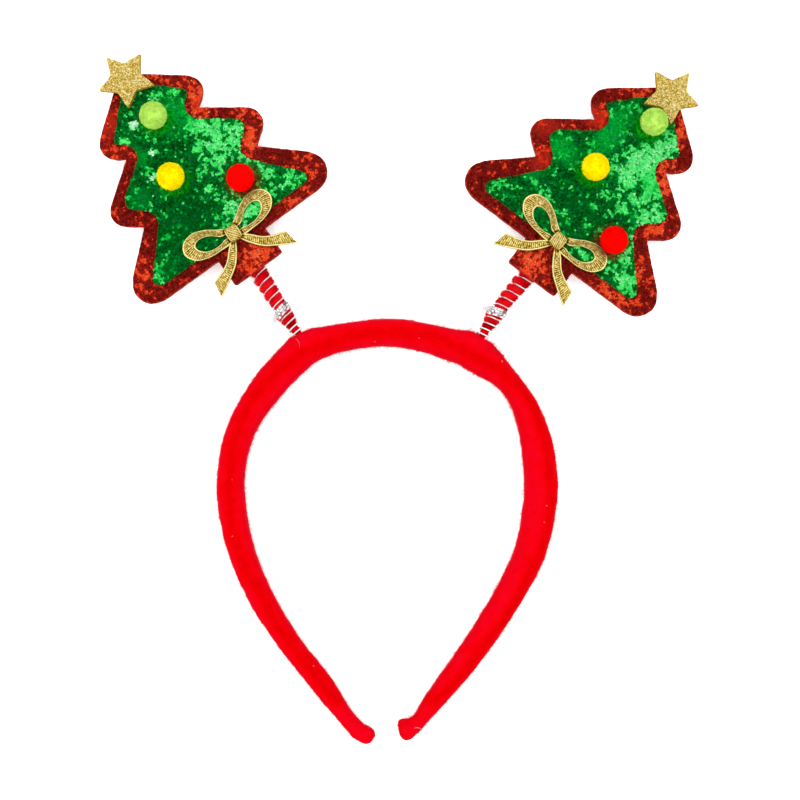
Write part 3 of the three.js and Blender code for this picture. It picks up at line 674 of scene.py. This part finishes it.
def star(tree):
    rng = np.random.default_rng(13)
    loop, top = layer(tree, "star", "gold_foam", 0.3, 0.05, 7)
    centres = lattice_points(inset(loop, 0.1), 0.22, rng)
    # Painted sparkle: each flake is lighter or darker, in small clumps and at random, for the light that
    # it catches.
    clumps = lumps(centres, 0.4, 71)
    shade = np.clip(0.5 + 0.26 * clumps + rng.normal(0, 0.26, len(centres)), 0, 1)
    flakes(tree, "gold", centres, top, 0.14, 20, shade, rng)


# Fluffy things


def fibres(name, roots, ways, lengths, widths, material, shade, facing, rng):
    """Straight tapering fibres, one triangle each, that show their flat sides as far as they can."""
    side = unit(np.cross(ways, facing + rng.normal(0, 0.15, ways.shape))) * (widths / 2)[:, None]
    points = np.stack([roots - side, roots + side, roots + ways * lengths[:, None]], 1)
    faces = np.arange(len(roots) * 3).reshape(-1, 3)
    piece(name, points, faces, material, shade=np.repeat(shade, 3))


def random_ways(count, rng):
    return unit(rng.normal(0, 1, (count, 3)))


def leaning(facing, lift, rng):
    """Ways that lean over at random from the way that each place faces; lift is how far they stand up."""
    level = unit(np.cross(facing, rng.normal(0, 1, facing.shape)))
    return unit(level + facing * np.reshape(lift, (-1, 1)))


# Painted shade: the solid core below the fibres is a little darker than the fibres, for the shade in the
# gaps between them.
CORE_SHADE = 0.4  # the shade of the solid core below the fibres
POMPOM_CORE = 0.93  # the radius of a pompom's core, as a share of the pompom's


def pompom(tree, colour, count=16000):
    """A ball of fibres, cut to a round outline and pressed where it is glued."""
    rng = np.random.default_rng(14)
    low, high = tree.span(f"pompom_{colour}")
    radius = (high[0] - low[0]) / 2
    middle = np.array([(low[0] + high[0]) / 2, (low[1] + high[1]) / 2, high[2] - radius])
    seat = low[2] - middle[2]
    core = radius * POMPOM_CORE
    rings = 24
    sides = 40
    lean = np.linspace(0.02, math.pi - 0.02, rings)
    lean, turn = np.meshgrid(lean, np.arange(sides) * math.tau / sides, indexing="ij")
    ball = np.stack([np.sin(lean) * np.cos(turn), np.sin(lean) * np.sin(turn), np.cos(lean)], -1)
    ball *= (core * (1 + 0.03 * lumps(ball * 4, 1.0, 17)))[..., None]
    ball[..., 2] = np.maximum(ball[..., 2], seat + 0.05)
    material = f"{colour}_pompom"
    name = f"pompom_{colour}_{tree.side}"
    faces = ring_faces(rings, sides)[:, ::-1]
    ball = tree.world(ball + middle)
    piece(f"{name}_core", ball, faces, material, [name], True, shade=CORE_SHADE)
    ways = random_ways(count, rng)
    lift = rng.uniform(0.35, 2.0, count) ** 2
    lay = leaning(ways, lift, rng)
    roots = ways * core * rng.uniform(0.96, 1.0, count)[:, None]
    reach = radius * (0.985 + 0.03 * rng.normal(0, 1, count)) + 0.2 * lumps(ways * 5, 1.6, 18)
    rise = np.maximum(reach - np.linalg.norm(roots, axis=1), 0.15)
    lengths = np.minimum(rise * np.sqrt(1 + 1 / lift**2), 1.3)
    tips = roots + lay * lengths[:, None]
    kept = (tips[:, 2] > seat) & (roots[:, 2] > seat)
    shade = np.clip(0.5 + rng.normal(0, 0.16, count), 0, 1)[kept]
    widths = rng.uniform(0.1, 0.2, count)[kept]
    world = tree.world(roots[kept] + middle)
    lay = lay[kept] @ tree.axes.T
    facing = ways[kept] @ tree.axes.T
    fibres(f"{name}_pile", world, lay, lengths[kept], widths, material, shade, facing, rng)


def distances(line):
    """How far along a line each of its points is."""
    return np.concatenate([[0], np.cumsum(np.linalg.norm(np.diff(line, axis=0), axis=1))])


def sampled(places, known, values):
    """Vectors at places along a line, from those at the places where they are known."""
    return np.stack([np.interp(places, known, column) for column in values.T], -1)


def smooth_line(points, samples):
    """The part's own curve through the points, in even samples, and its length."""
    points = np.asarray(points, float)
    ends = np.vstack([2 * points[0] - points[1], points, 2 * points[-1] - points[-2]])
    line = []
    for a, b, c, d in zip(ends, ends[1:], ends[2:], ends[3:]):
        ab, bc, cd = (math.sqrt(np.linalg.norm(q - p)) for p, q in ((a, b), (b, c), (c, d)))
        out = ((b - a) / ab - (c - a) / (ab + bc) + (c - b) / bc) * bc
        into = ((c - b) / bc - (d - b) / (bc + cd) + (d - c) / cd) * bc
        bend = 3 * (c - b) - 2 * out - into
        back = 2 * (b - c) + out + into
        for t in np.linspace(0, 1, 60, endpoint=False):
            line.append(b + out * t + bend * t**2 + back * t**3)
    line.append(points[-1])
    line = np.array(line)
    along = distances(line)
    return sampled(np.linspace(0, along[-1], samples), along, line), along[-1]


class Spring:
    """The axis of a tree's spring, and points given round it."""

    def __init__(self, tree):
        foot, middle, top = tree.facts["axis"]
        drop = math.sin(math.radians(tree.facts["droop"]))
        corners = [
            (foot, -SPRING_LENGTH - SOCKET_DEPTH, 0),
            (foot, -SPRING_LENGTH, 0),
            (middle, -SPRING_LENGTH / 2, 0),
            (top, 0, 0),
            (top / 2, SPRING_TAIL / 2, -drop * SPRING_TAIL / 2),
            (0, SPRING_TAIL, -drop * SPRING_TAIL),
        ]
        self.tree = tree
        self.line, self.length = smooth_line(corners, 800)
        self.shares = np.linspace(0, 1, len(self.line))
        self.along = unit(np.gradient(self.line, axis=0))

    def frame_at(self, share):
        """The axis's place, its way along, and the ways sideways and outwards from it."""
        share = np.clip(share, 0, 1)
        middle = sampled(share, self.shares, self.line)
        along = unit(sampled(share, self.shares, self.along))
        sideways = unit(np.cross([0, 0, 1], along))
        return middle, along, sideways, np.cross(sideways, along)

    def point(self, angle, radius, share):
        """In the spring's frame, which the tree turns into the row's."""
        middle, _, sideways, outwards = self.frame_at(share)
        out = outwards * np.cos(angle)[..., None] + sideways * np.sin(angle)[..., None]
        return middle + out * np.asarray(radius)[..., None]

    def share_at(self, turn):
        return (np.clip(turn, 0, TURNS) / TURNS) ** PITCH_GROWTH

    def turn_at(self, share):
        return TURNS * np.clip(share, 0, 1) ** (1 / PITCH_GROWTH)

    def phase(self, angle, share):
        """How many turns a place is past the wire's start."""
        return self.turn_at(share) - angle / math.tau

    def pile_radius(self, angle, share):
        """The pile: narrow where the wire bites in and near the felt, and swollen between.

        It stands out further on one side.
        """
        turn = self.turn_at(share)
        from_wire = np.abs((self.phase(angle, share) + 0.5) % 1 - 0.5)
        pitch = (self.share_at(turn + 0.5) - self.share_at(turn - 0.5)) * self.length
        swollen = np.minimum(PILE_RADIUS, GROOVE_RADIUS + PILE_SWELL * pitch)
        swollen = GROOVE_RADIUS + (swollen - GROOVE_RADIUS) * np.clip((share - 0.1) / 0.14, 0.1, 1)
        swollen = swollen * (1 + 0.12 * np.sin(angle))
        half_tie = TIE_LENGTH / 2 / self.length
        swollen = np.where(np.abs(share - TIE_PLACE) < half_tie, np.minimum(swollen, TIE_SQUEEZE), swollen)
        open_share = np.clip((from_wire - 0.09) / 0.13, 0, 1)
        return GROOVE_RADIUS + (swollen - GROOVE_RADIUS) * np.sqrt(open_share)


def spring_wire(spring):
    side = spring.tree.side
    sides = 8
    around = -math.tau * np.arange(sides) / sides
    # Painted highlight and shade round the wire: lighter on its outer side and towards the tree, darker on
    # its inner side and towards the felt.
    lit = 0.2 + 0.7 * np.cos(around) + 0.5 * np.sin(around)
    turns = np.arange(0.5, TURNS - 0.25, 1 / 40)[:, None]
    share = spring.share_at(turns) + WIRE_RADIUS * np.sin(around) / spring.length
    points = spring.point(math.tau * turns, COIL_RADIUS + WIRE_RADIUS * np.cos(around), share)
    points = spring.tree.beside(points)
    faces = ring_faces(len(turns), sides)
    shade = np.tile(lit, len(turns))
    piece(f"coil_{side}", points, faces, "silver_wire", [f"spring_wire_{side}"], True, shade=shade)


STEM_SPAN = (0.01, 0.985)  # the share of the spring's length that carries pile, from and to


def chenille(spring, count=34000):
    """The stem's pile, which swells out between the turns of the wire in uneven tufts."""
    rng = np.random.default_rng(15)
    rings = 360
    sides = 36
    share = np.linspace(*STEM_SPAN, rings)
    share, angle = np.meshgrid(share, math.tau * (np.arange(sides) / sides), indexing="ij")
    uneven = lumps(np.stack([spring.phase(angle, share), angle], -1), 0.7, 19)
    radius = spring.pile_radius(angle, share) - 0.4 + 0.35 * uneven
    points = spring.tree.beside(spring.point(angle, radius, share))
    node = f"chenille_stem_{spring.tree.side}"
    faces = ring_faces(rings, sides)
    piece(f"{node}_core", points, faces, "red_pile", [node], True, shade=CORE_SHADE)
    share = rng.uniform(*STEM_SPAN, count)
    angle = rng.uniform(0, math.tau, count)
    kept = spring.pile_radius(angle, share) > GROOVE_RADIUS + 0.35
    share = share[kept]
    angle = angle[kept]
    reach = spring.pile_radius(angle, share)
    around = np.stack([spring.phase(angle, share), angle], -1)
    uneven = lumps(around, 0.7, 19)
    roots = spring.point(angle, reach - 0.55, share)
    facing = unit(roots - spring.frame_at(share)[0])
    lift = rng.uniform(0.5, 2.2, len(reach)) ** 2
    ways = leaning(facing, lift, rng) @ spring.tree.upright.T
    tufts = lumps(around * [2.2, 1.5], 0.45, 20)
    rise = np.maximum(0.5 + 0.8 * uneven + 0.7 * tufts + rng.normal(0, 0.12, len(reach)), 0.12)
    lengths = np.minimum(rise * np.sqrt(1 + 1 / lift**2), 1.6)
    facing = facing @ spring.tree.upright.T
    roots = spring.tree.beside(roots)
    # Painted shade: fibres sunk deep into the grooves by the wire are darker.
    deep = np.clip((PILE_RADIUS - reach) / (PILE_RADIUS - GROOVE_RADIUS), 0, 1)
    shade = np.clip(0.6 + 0.5 * uneven - 0.5 * deep + rng.normal(0, 0.2, len(reach)), 0, 1)
    widths = rng.uniform(0.08, 0.18, len(reach))
    fibres(f"{node}_pile", roots, ways, lengths, widths, "red_pile", shade, facing, rng)


def crumple(points, grain, seed):
    """Crumpled film: how far its flat facets are pushed out, and how near a sharp crease is."""
    first = np.abs(lumps(points, grain, seed))
    second = np.abs(lumps(points, grain * 0.55, seed + 1))
    near = np.minimum(first / 0.2, second / 0.18)
    return first + 0.5 * second, np.clip(near, 0, 1)


TIE_RADIUS = 2.95
TIE_SQUEEZE = 2.6  # how far out the pile stands below the film tie
TAB_SIDE = 30  # points along each side of the film tie's loose end


def clear_tie(spring):
    """A crumpled wrap of clear film, with its loose end standing off to the side."""
    side = spring.tree.side
    rings = 44
    sides = 110
    share = np.linspace(-0.5, 0.5, rings)
    share, angle = np.meshgrid(share, math.tau * np.arange(sides) / sides, indexing="ij")
    flat = np.stack([share * TIE_LENGTH, np.cos(angle) * 2.2, np.sin(angle) * 2.2], -1)
    push, near = crumple(flat, 1.3, 41)
    wide = lumps(flat, 2.4, 45)
    radius = TIE_RADIUS + 0.55 * push + 0.35 * np.abs(wide)
    place = TIE_PLACE + share * (TIE_LENGTH + 0.5 * wide) / spring.length
    wrap = spring.point(angle, radius, place)
    middle = spring.frame_at(np.array([TIE_PLACE]))[0][0]
    wrap[..., 1] += (wrap[..., 0] - middle[0]) * math.tan(math.radians(TIE_LEAN))
    reach = np.linspace(0, 1, TAB_SIDE)
    reach, across = np.meshgrid(reach, np.linspace(-0.5, 0.5, TAB_SIDE), indexing="ij")
    level = across * (2.7 - 0.9 * reach**2) - 1.4 * reach - 0.4
    tab = np.stack([-2.7 - 3.0 * reach, level, 0.6 * np.sin(reach * 2.4)], -1)
    tab_push, tab_near = crumple(tab, 1.1, 47)
    tab = tab + tab_push[..., None] * [0.2, 0.3, 0.7] + middle
    edge = np.clip(np.minimum(1 - reach, 0.5 - np.abs(across)) * 8, 0, 1)
    # Painted shade and reflection: the film is dark along its creases and at the edges of its loose end,
    # and pale between.
    points, faces, shade = joined(
        (wrap, ring_faces(rings, sides), near),
        (tab, ring_faces(TAB_SIDE, TAB_SIDE, closed=False), 0.62 * np.sqrt(tab_near) * edge),
    )
    points = spring.tree.beside(points)
    piece(f"film_{side}", points, faces, "clear_film", [f"clear_tie_{side}"], shade=shade)


# The bow

RIB_PITCH = 0.76
CORD_WIDTH = 0.8
TWIST_PITCH = 0.62
GATHERED_LENGTH = 3.2  # how far from the knot the pleats reach
STRIP_COLUMNS = 26


def strip(rows, mirror, steps, both_ends):
    """A ribbon strip through rows of edge points: its skin's points, faces and shades.

    A raised cord runs along each edge, with cross ribs between, which turn into pleats where the knot
    gathers the strip, at its start or at both ends.
    """
    edges = []
    for corners in np.hsplit(np.array(rows), 2):
        places = corners * [BOW_WIDTH / 2, BOW_HEIGHT]
        rising = np.arange(len(rows)) * 0.01
        edges.append(smooth_line(np.column_stack([places, rising]), steps)[0][:, :2])
    outer, inner = edges
    share = 0.5 - 0.5 * np.cos(np.linspace(0, math.pi, STRIP_COLUMNS))
    flat = outer[:, None] + (inner - outer)[:, None] * share[:, None]
    along = distances((outer + inner) / 2)[:, None]
    width = np.linalg.norm(inner - outer, axis=1)[:, None]
    from_edge = np.minimum(share, 1 - share) * width / np.minimum(CORD_WIDTH, width * 0.3)
    on_cord = np.sqrt(np.clip(1 - (2 * from_edge - 1) ** 2, 0, 1))
    body = np.clip((from_edge - 0.8) / 0.5, 0, 1)
    bulge = np.sqrt(np.clip(1 - (2 * share - 1) ** 2, 0, 1))
    uneven = lumps(flat, 0.5, 61)
    slanted = along + (share - 0.5) * width * 0.3
    ribs = 0.5 + 0.5 * np.cos(math.tau * slanted / RIB_PITCH + 1.1 * uneven)
    from_end = np.minimum(along, along[-1] - along) if both_ends else along
    gathered = np.exp(-((from_end / GATHERED_LENGTH) ** 2))
    pleats = 0.5 + 0.5 * np.cos(math.tau * share * 3.5)
    ribs = np.clip((ribs * (1 - gathered) + pleats * gathered - 0.5) * 1.6 + 0.5, 0, 1)
    twist = 0.5 + 0.5 * np.cos(math.tau * along / TWIST_PITCH)
    height = BOW_THICKNESS * np.maximum(0.72 * on_cord, body * (0.5 + 0.26 * bulge + 0.24 * ribs))
    # Painted highlight and shade: the ribs and pleats are light on their crests and dark in their gaps,
    # the cords light where their twist catches the light, and the groove between cord and body dark.
    shade = body * (0.16 + 0.52 * ribs + 0.3 * uneven) + (1 - body) * on_cord * (0.68 + 0.3 * twist)
    # Painted shadow: the strip is darker in a ring just outside the knot, which shades it.
    from_knot = np.hypot(flat[..., 0] / (KNOT_SIZE[0] * 0.56), flat[..., 1] / (KNOT_SIZE[1] * 0.5))
    shade -= 0.5 * np.exp(-(((from_knot - 1.1) / 0.25) ** 2))
    x = flat[..., 0] * (-1 if mirror else 1)
    top = np.stack([x, flat[..., 1], height], -1)
    faces = ring_faces(steps, STRIP_COLUMNS, closed=False)
    return joined((top, faces, shade), (top * [1, 1, 0], faces[:, ::-1], shade))


def knot():
    """The band round the middle: a fat barrel with a cord down each side, pale partly from painted
    highlight, and ribs between.
    """
    width, height, thickness = KNOT_SIZE
    rows = 70
    columns = 60
    v, u = np.meshgrid(np.linspace(-1, 1, rows), np.linspace(-1, 1, columns), indexing="ij")
    x = u * np.sqrt(1 - 0.3 * v**2) * width * 0.56
    y = v * np.sqrt(1 - 0.2 * u**2) * height * 0.5
    cord = np.clip(1 - np.abs(np.abs(u) - 0.84) / 0.15, 0, 1)
    inner = np.clip((0.74 - np.abs(u)) / 0.1, 0, 1)
    uneven = lumps(np.stack([x, y], -1), 0.5, 62)
    ribs = 0.5 + 0.5 * np.cos(math.tau * (y + 0.45 * x) / 0.7 + 0.9 * uneven)
    twist = 0.5 + 0.5 * np.cos(math.tau * y / TWIST_PITCH)
    body = np.clip(1 - np.abs(v) ** 6, 0, 1) ** 0.5 * np.clip(1 - np.abs(u) ** 8, 0, 1) ** 0.5
    z = thickness * body * (0.84 + 0.08 * cord + inner * 0.16 * ribs) + 0.02
    # Painted highlight and shade: the ribs are light on their crests and dark in their gaps, the cords
    # light where their twist catches the light, and the barrel darker towards its ends.
    shade = inner * (0.2 + 0.55 * ribs + 0.15 * uneven) + (1 - inner) * cord * (0.7 + 0.3 * twist)
    shade *= 1 - 0.6 * np.abs(v) ** 6
    return np.stack([x, y, z], -1), ring_faces(rows, columns, closed=False), shade


def bow(tree):
    u, v, turn = tree.facts["bow"]
    low, _ = tree.span("bow")
    parts = [knot()]
    for mirror in (False, True):
        parts.append(strip(LOOP_ROWS, mirror, 300, True))
        parts.append(strip(TAIL_ROWS, mirror, 130, False))
    points, faces, shade = joined(*parts)
    cos = math.cos(math.radians(turn))
    sin = math.sin(math.radians(turn))
    placed = points @ [[cos, sin, 0], [-sin, cos, 0], [0, 0, 1]] + [u, v, low[2]]
    name = f"bow_{tree.side}"
    values = {"shade": shade, **near_balls(tree, placed)}
    piece(f"{name}_ribbon", tree.world(placed), faces, "gold_ribbon", [name], True, **values)


# The felt hoop

HOOP_MIDDLE_BELOW_CROWN = 68.0


def hoop_places(points):
    """Each point's angle clockwise from the crown, and its share across: -1 inside and 1 outside."""
    low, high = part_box("headband_felt")
    middle = np.array([(low.x + high.x) / 2, high.y]) / MM - [0, HOOP_MIDDLE_BELOW_CROWN]
    x, y = (points[:, :2] - middle).T
    angle = np.degrees(np.arctan2(x, y))
    radius = np.hypot(x, y)
    known = []
    for place in np.arange(-176, 177, 2.0):
        span = radius[np.abs(angle - place) < 2.0]
        if len(span) > 8:
            known.append((place, span.min(), span.max()))
    places, inner, outer = np.array(known).T
    inner = np.interp(angle, places, inner)
    outer = np.interp(angle, places, outer)
    return angle, (2 * radius - inner - outer) / (outer - inner)


# Creases in the felt: angle and share across where each starts and ends, how deep, and how wide.
CREASES = [
    (36, 0.9, 22, -0.2, 0.7, 1.1), (31, 0.3, 38, -0.8, 0.4, 1.4), (-29, 1.0, -30, -0.2, 0.5, 0.6),
    (-34, 0.9, -42, -0.3, 0.35, 1.6), (172, 0.8, 176, -0.8, 0.5, 0.9),
    (-170, 0.9, -173, -0.7, 0.5, 0.8), (150, 0.1, 172, 0.2, 0.35, 1.5),
]

# The shallow valley along the felt on each side, sunk and darkened with painted shade, from the crown to
# the tip: x and y.
VALLEYS = [
    [
        (0.6, 26.2), (-16.5, 25.1), (-27.9, 21.3), (-37.4, 17.5), (-46.9, 9.9), (-54.5, 1.5),
        (-59.4, -7.2), (-62.1, -16.7), (-64.0, -31.9), (-63.6, -42.2), (-60.6, -54.7), (-57.5, -63.1),
        (-53.0, -70.7), (-45.0, -85.9), (-35.5, -98.4), (-27.9, -107.9), (-23.3, -113.6),
    ],
    [
        (0.6, 26.2), (13.9, 24.3), (28.0, 17.5), (37.5, 12.2), (48.1, 2.3), (51.9, -5.3), (55.7, -14.8),
        (57.2, -26.2), (58.0, -37.6), (56.7, -47.1), (53.8, -56.6), (48.1, -68.0), (40.1, -83.2),
        (32.9, -91.6), (25.3, -102.2), (18.5, -109.8), (12.8, -113.6),
    ],
]
VALLEY_DEPTH = 0.5
VALLEY_WIDTH = 2.4

# Where the felt stands out fuller or less full at the tips: x, y, how far that reaches and its height.
SWELLS = [
    (3.3, -128.8, 2.4, 1.7), (-0.5, -121.8, 1.9, 1.8), (0.6, -119.5, 1.5, -0.5),
    (-12.3, -130.0, 3.0, 0.8), (-9.6, -127.2, 1.6, 0.5), (-11.6, -121.8, 2.4, -1.3),
]

# Pale threads of lint on the felt: where each starts and ends, and how pale it is.
LINT = [
    (-9.1, 22.2, -8.6, 22.5, 0.6), (7.6, 23.7, 8.1, 23.4, 0.6), (38.8, 15.2, 39.3, 14.6, 0.6),
    (-62.7, -29.8, -62.3, -29.4, 0.3), (55.5, -39.6, 56.1, -39.3, 0.6), (54.6, -45.5, 55.2, -45.8, 0.6),
    (-62.8, -51.1, -62.3, -50.7, 0.6), (-32.3, -100.5, -31.8, -100.0, 0.6),
    (-38.6, 23.6, -37.2, 19.8, 0.0), (6.0, -124.1, 9.0, -124.6, 0.8),
]

# How fine the felt's cover is remeshed, and how many degrees round count as much as a share of 1 across.
FELT_VOXEL = 0.8
ACROSS_SCALE = 5.5


def from_segment(points, start, end):
    """How far flat points are from a straight line between two places."""
    start = np.array(start)
    way = end - start
    share = np.clip((points - start) @ way / (way @ way), 0, 1)
    return np.linalg.norm(points - start - share[:, None] * way, axis=1)


def ribbons(name, line, side, material, shade):
    """Narrow ribbons: line has a row of places for each, and side the way to their edges."""
    count, steps, _ = line.shape
    quads = ring_faces(steps, 2, closed=False)[:, ::-1]
    faces = (quads + (np.arange(count) * steps * 2)[:, None, None]).reshape(-1, 4)
    points = np.stack([line - side, line + side], 2)
    piece(name, points, faces, material, shade=np.repeat(shade, steps * 2))


def wisps(points, normals, painted_shading_and_mottle, count, rng):
    """Loose curved fibres that stand out from the felt's sides."""
    picked = rng.choice(np.flatnonzero((np.abs(normals[:, 2]) < 0.6) & (points[:, 2] > 3)), count)
    reach = rng.uniform(0.3, 1.1, (count, 1, 1))
    share = np.linspace(0, 1, 5)[None, :, None]
    curl = random_ways(count, rng)[:, None] * 0.9
    line = points[picked][:, None] + reach * (normals[picked][:, None] * share + curl * share**2)
    line[..., 2] = np.maximum(line[..., 2], 0.1)
    side = unit(np.cross(normals[picked] + curl[:, 0], [0, 0, 1]))[:, None] * 0.045
    ribbons("felt_wisps", line, side, "red_felt", painted_shading_and_mottle[picked])


def lint(points):
    """Short pale threads that lie on the felt, each a bowed ribbon."""
    share = np.linspace(0, 1, 7)[:, None]
    lines = []
    sides = []
    for x0, y0, x1, y1, _ in LINT:
        start = np.array([x0, y0])
        end = np.array([x1, y1])
        across = np.array([y0 - y1, x1 - x0])
        line = start + (end - start) * share + across * 0.14 * np.sin(math.pi * share)
        tops = [points[np.hypot(*(points[:, :2] - place).T) < 0.8, 2].max() for place in line]
        lines.append(np.column_stack([line, np.array(tops) + 0.3]))
        side = unit(across) * 0.08 * (1 - 0.6 * np.abs(2 * share - 1))
        sides.append(np.column_stack([side, np.zeros(len(side))]))
    paleness = [row[-1] for row in LINT]
    ribbons("felt_lint", np.array(lines), np.array(sides), "pale_lint", paleness)


def felt_hoop(count=60000):
    """The padded cover in place of the hoop's node, with its nap, its wisps and the lint on it."""
    rng = np.random.default_rng(16)
    made = added("felt_cover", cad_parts["headband_felt"].data.copy())
    remesh = made.modifiers.new("Remesh", "REMESH")
    remesh.mode = "VOXEL"
    remesh.voxel_size = FELT_VOXEL * MM
    smooth = made.modifiers.new("Smooth", "SMOOTH")
    smooth.factor = 0.5
    smooth.iterations = 8
    depsgraph = bpy.context.evaluated_depsgraph_get()
    mesh = bpy.data.meshes.new_from_object(made.evaluated_get(depsgraph))
    made.modifiers.clear()
    made.data = mesh
    points = vectors(mesh, "co") / MM
    normals = vectors(mesh, "normal")
    angle, across = hoop_places(points)
    flat = points[:, :2]
    lines = [from_segment(flat, *ends) for line in VALLEYS for ends in zip(line, line[1:])]
    valley = np.exp(-((np.min(lines, axis=0) / VALLEY_WIDTH) ** 2))
    sunk = VALLEY_DEPTH * valley * np.clip((np.abs(angle) - 30) / 30, 0, 1)
    place = np.stack([angle, across * ACROSS_SCALE], -1)
    for start, start_across, end, end_across, depth, width in CREASES:
        ends = np.array([(start, start_across), (end, end_across)]) * [1, ACROSS_SCALE]
        sunk += depth * np.exp(-((from_segment(place, *ends) / width) ** 2))
    sunk *= np.clip(normals[:, 2] * 2, 0, 1)
    swell = 0.25 * lumps(points, 11, 51) + 0.16 * lumps(points, 4.5, 52) + 0.12 * lumps(points, 1.8, 53)
    steep = np.clip(1 - np.abs(normals[:, 2]), 0, 1)
    for x, y, reach, height in SWELLS:
        swell += height * np.exp(-(from_spot(points, x, y, reach, reach) ** 2)) * steep
    points += normals * (swell - sunk)[:, None]
    points[:, 2] = np.maximum(points[:, 2], 0)
    mesh.vertices.foreach_set("co", (points * MM).astype(np.float32).ravel())
    mesh.polygons.foreach_set("use_smooth", np.ones(len(mesh.polygons), bool))
    # Painted shade and highlight with a random mottle: the felt is darker along the valleys and lighter
    # towards its edges.
    painted_shading_and_mottle = 0.61 - 0.4 * valley + 0.12 * lumps(points, 2.2, 54)
    painted_shading_and_mottle += 0.1 * np.clip(np.abs(across) * 2 - 1, 0, 1)
    give(mesh, "shade", painted_shading_and_mottle)
    mesh.update()
    dress(made, "red_felt", ["headband_felt"])
    picked = rng.integers(0, len(points), count)
    ways = leaning(normals[picked], rng.uniform(0.15, 1.6, count), rng)
    tufted = np.clip(0.5 + lumps(points[picked], 1.3, 55), 0, 1) * (np.abs(normals[picked, 2]) < 0.6)
    lengths = rng.uniform(0.3, 0.8, count) * (1 + tufted)
    roots = points[picked] + rng.normal(0, 0.25, (count, 3)) * [1, 1, 0.3] - normals[picked] * 0.15
    tips = roots + ways * lengths[:, None]
    kept = (roots[:, 2] > 0.05) & (tips[:, 2] > 0.05)
    shade = painted_shading_and_mottle[picked][kept] + rng.normal(0, 0.15, kept.sum())
    widths = np.full(kept.sum(), 0.11)
    facing = normals[picked][kept]
    fibres("felt_nap", roots[kept], ways[kept], lengths[kept], widths, "red_felt", shade, facing, rng)
    wisps(points, normals, painted_shading_and_mottle, 2200, rng)
    lint(points)


# The stage

CAMERA_HEIGHT = 646
PHOTO_SPAN = 304  # what the photograph takes in from edge to edge, at the height of the springs
SPRING_HEIGHT = 6
PHOTO_MIDDLE = (0.6, 0.4)
FLOOR_HALF = 3.0  # half the floor's width, in metres
FLOOR_DROP = 0.02  # how far the floor lies below the headband
WORLD_LIGHT = 2.3

# Round lights that point at the middle of the frame: x, y and z, the width, all in metres, and the power.
LIGHTS = {
    "key": (-0.38, 0.42, 0.8, 0.5, 1.6),
    "right": (0.55, 0.3, 0.7, 0.6, 0.8),
    "left": (-0.55, -0.25, 0.7, 0.6, 0.8),
    "low": (0.3, -0.55, 0.7, 0.6, 0.8),
}


def camera():
    data = bpy.data.cameras.new("camera")
    data.sensor_width = 36
    data.lens = data.sensor_width * (CAMERA_HEIGHT - SPRING_HEIGHT) / PHOTO_SPAN
    data.clip_start = 0.01
    data.clip_end = 20
    made = added("camera", data)
    made.location = (PHOTO_MIDDLE[0] * MM, PHOTO_MIDDLE[1] * MM, CAMERA_HEIGHT * MM)
    bpy.context.scene.camera = made


def light():
    world = bpy.data.worlds.new("studio")
    world.use_nodes = True
    background = world.node_tree.nodes["Background"]
    background.inputs["Color"].default_value = (1, 1, 1, 1)
    background.inputs["Strength"].default_value = WORLD_LIGHT
    bpy.context.scene.world = world
    for name, (*place, width, power) in LIGHTS.items():
        data = bpy.data.lights.new(name, "AREA")
        data.shape = "DISK"
        data.size = width
        data.energy = power
        back = unit(np.array(place))
        across = unit(np.cross([0, 1, 0.001], back))
        axes = np.column_stack([across, np.cross(back, across), back])
        made = added(name, data)
        made.matrix_world = Matrix.Translation(place) @ Matrix(axes.tolist()).to_4x4()


def floor():
    mesh = bpy.data.meshes.new("floor")
    corners = [(x * FLOOR_HALF, y * FLOOR_HALF, 0) for x, y in ((-1, -1), (1, -1), (1, 1), (-1, 1))]
    mesh.from_pydata(corners, [], [(0, 1, 2, 3)])
    mesh.materials.append(MATERIALS["pale_floor"])
    made = added("floor", mesh)
    made.location.z = -FLOOR_DROP * MM


bpy.context.scene.view_settings.view_transform = "Standard"
camera()
light()
floor()
felt_hoop()
for side, facts in TREES.items():
    tree = Tree(side, facts)
    panel = green_panel(tree)
    red_board(tree, panel)
    star(tree)
    bow(tree)
    for colour in ("lime", "yellow", "red"):
        pompom(tree, colour)
    spring = Spring(tree)
    spring_wire(spring)
    chenille(spring)
    clear_tie(spring)
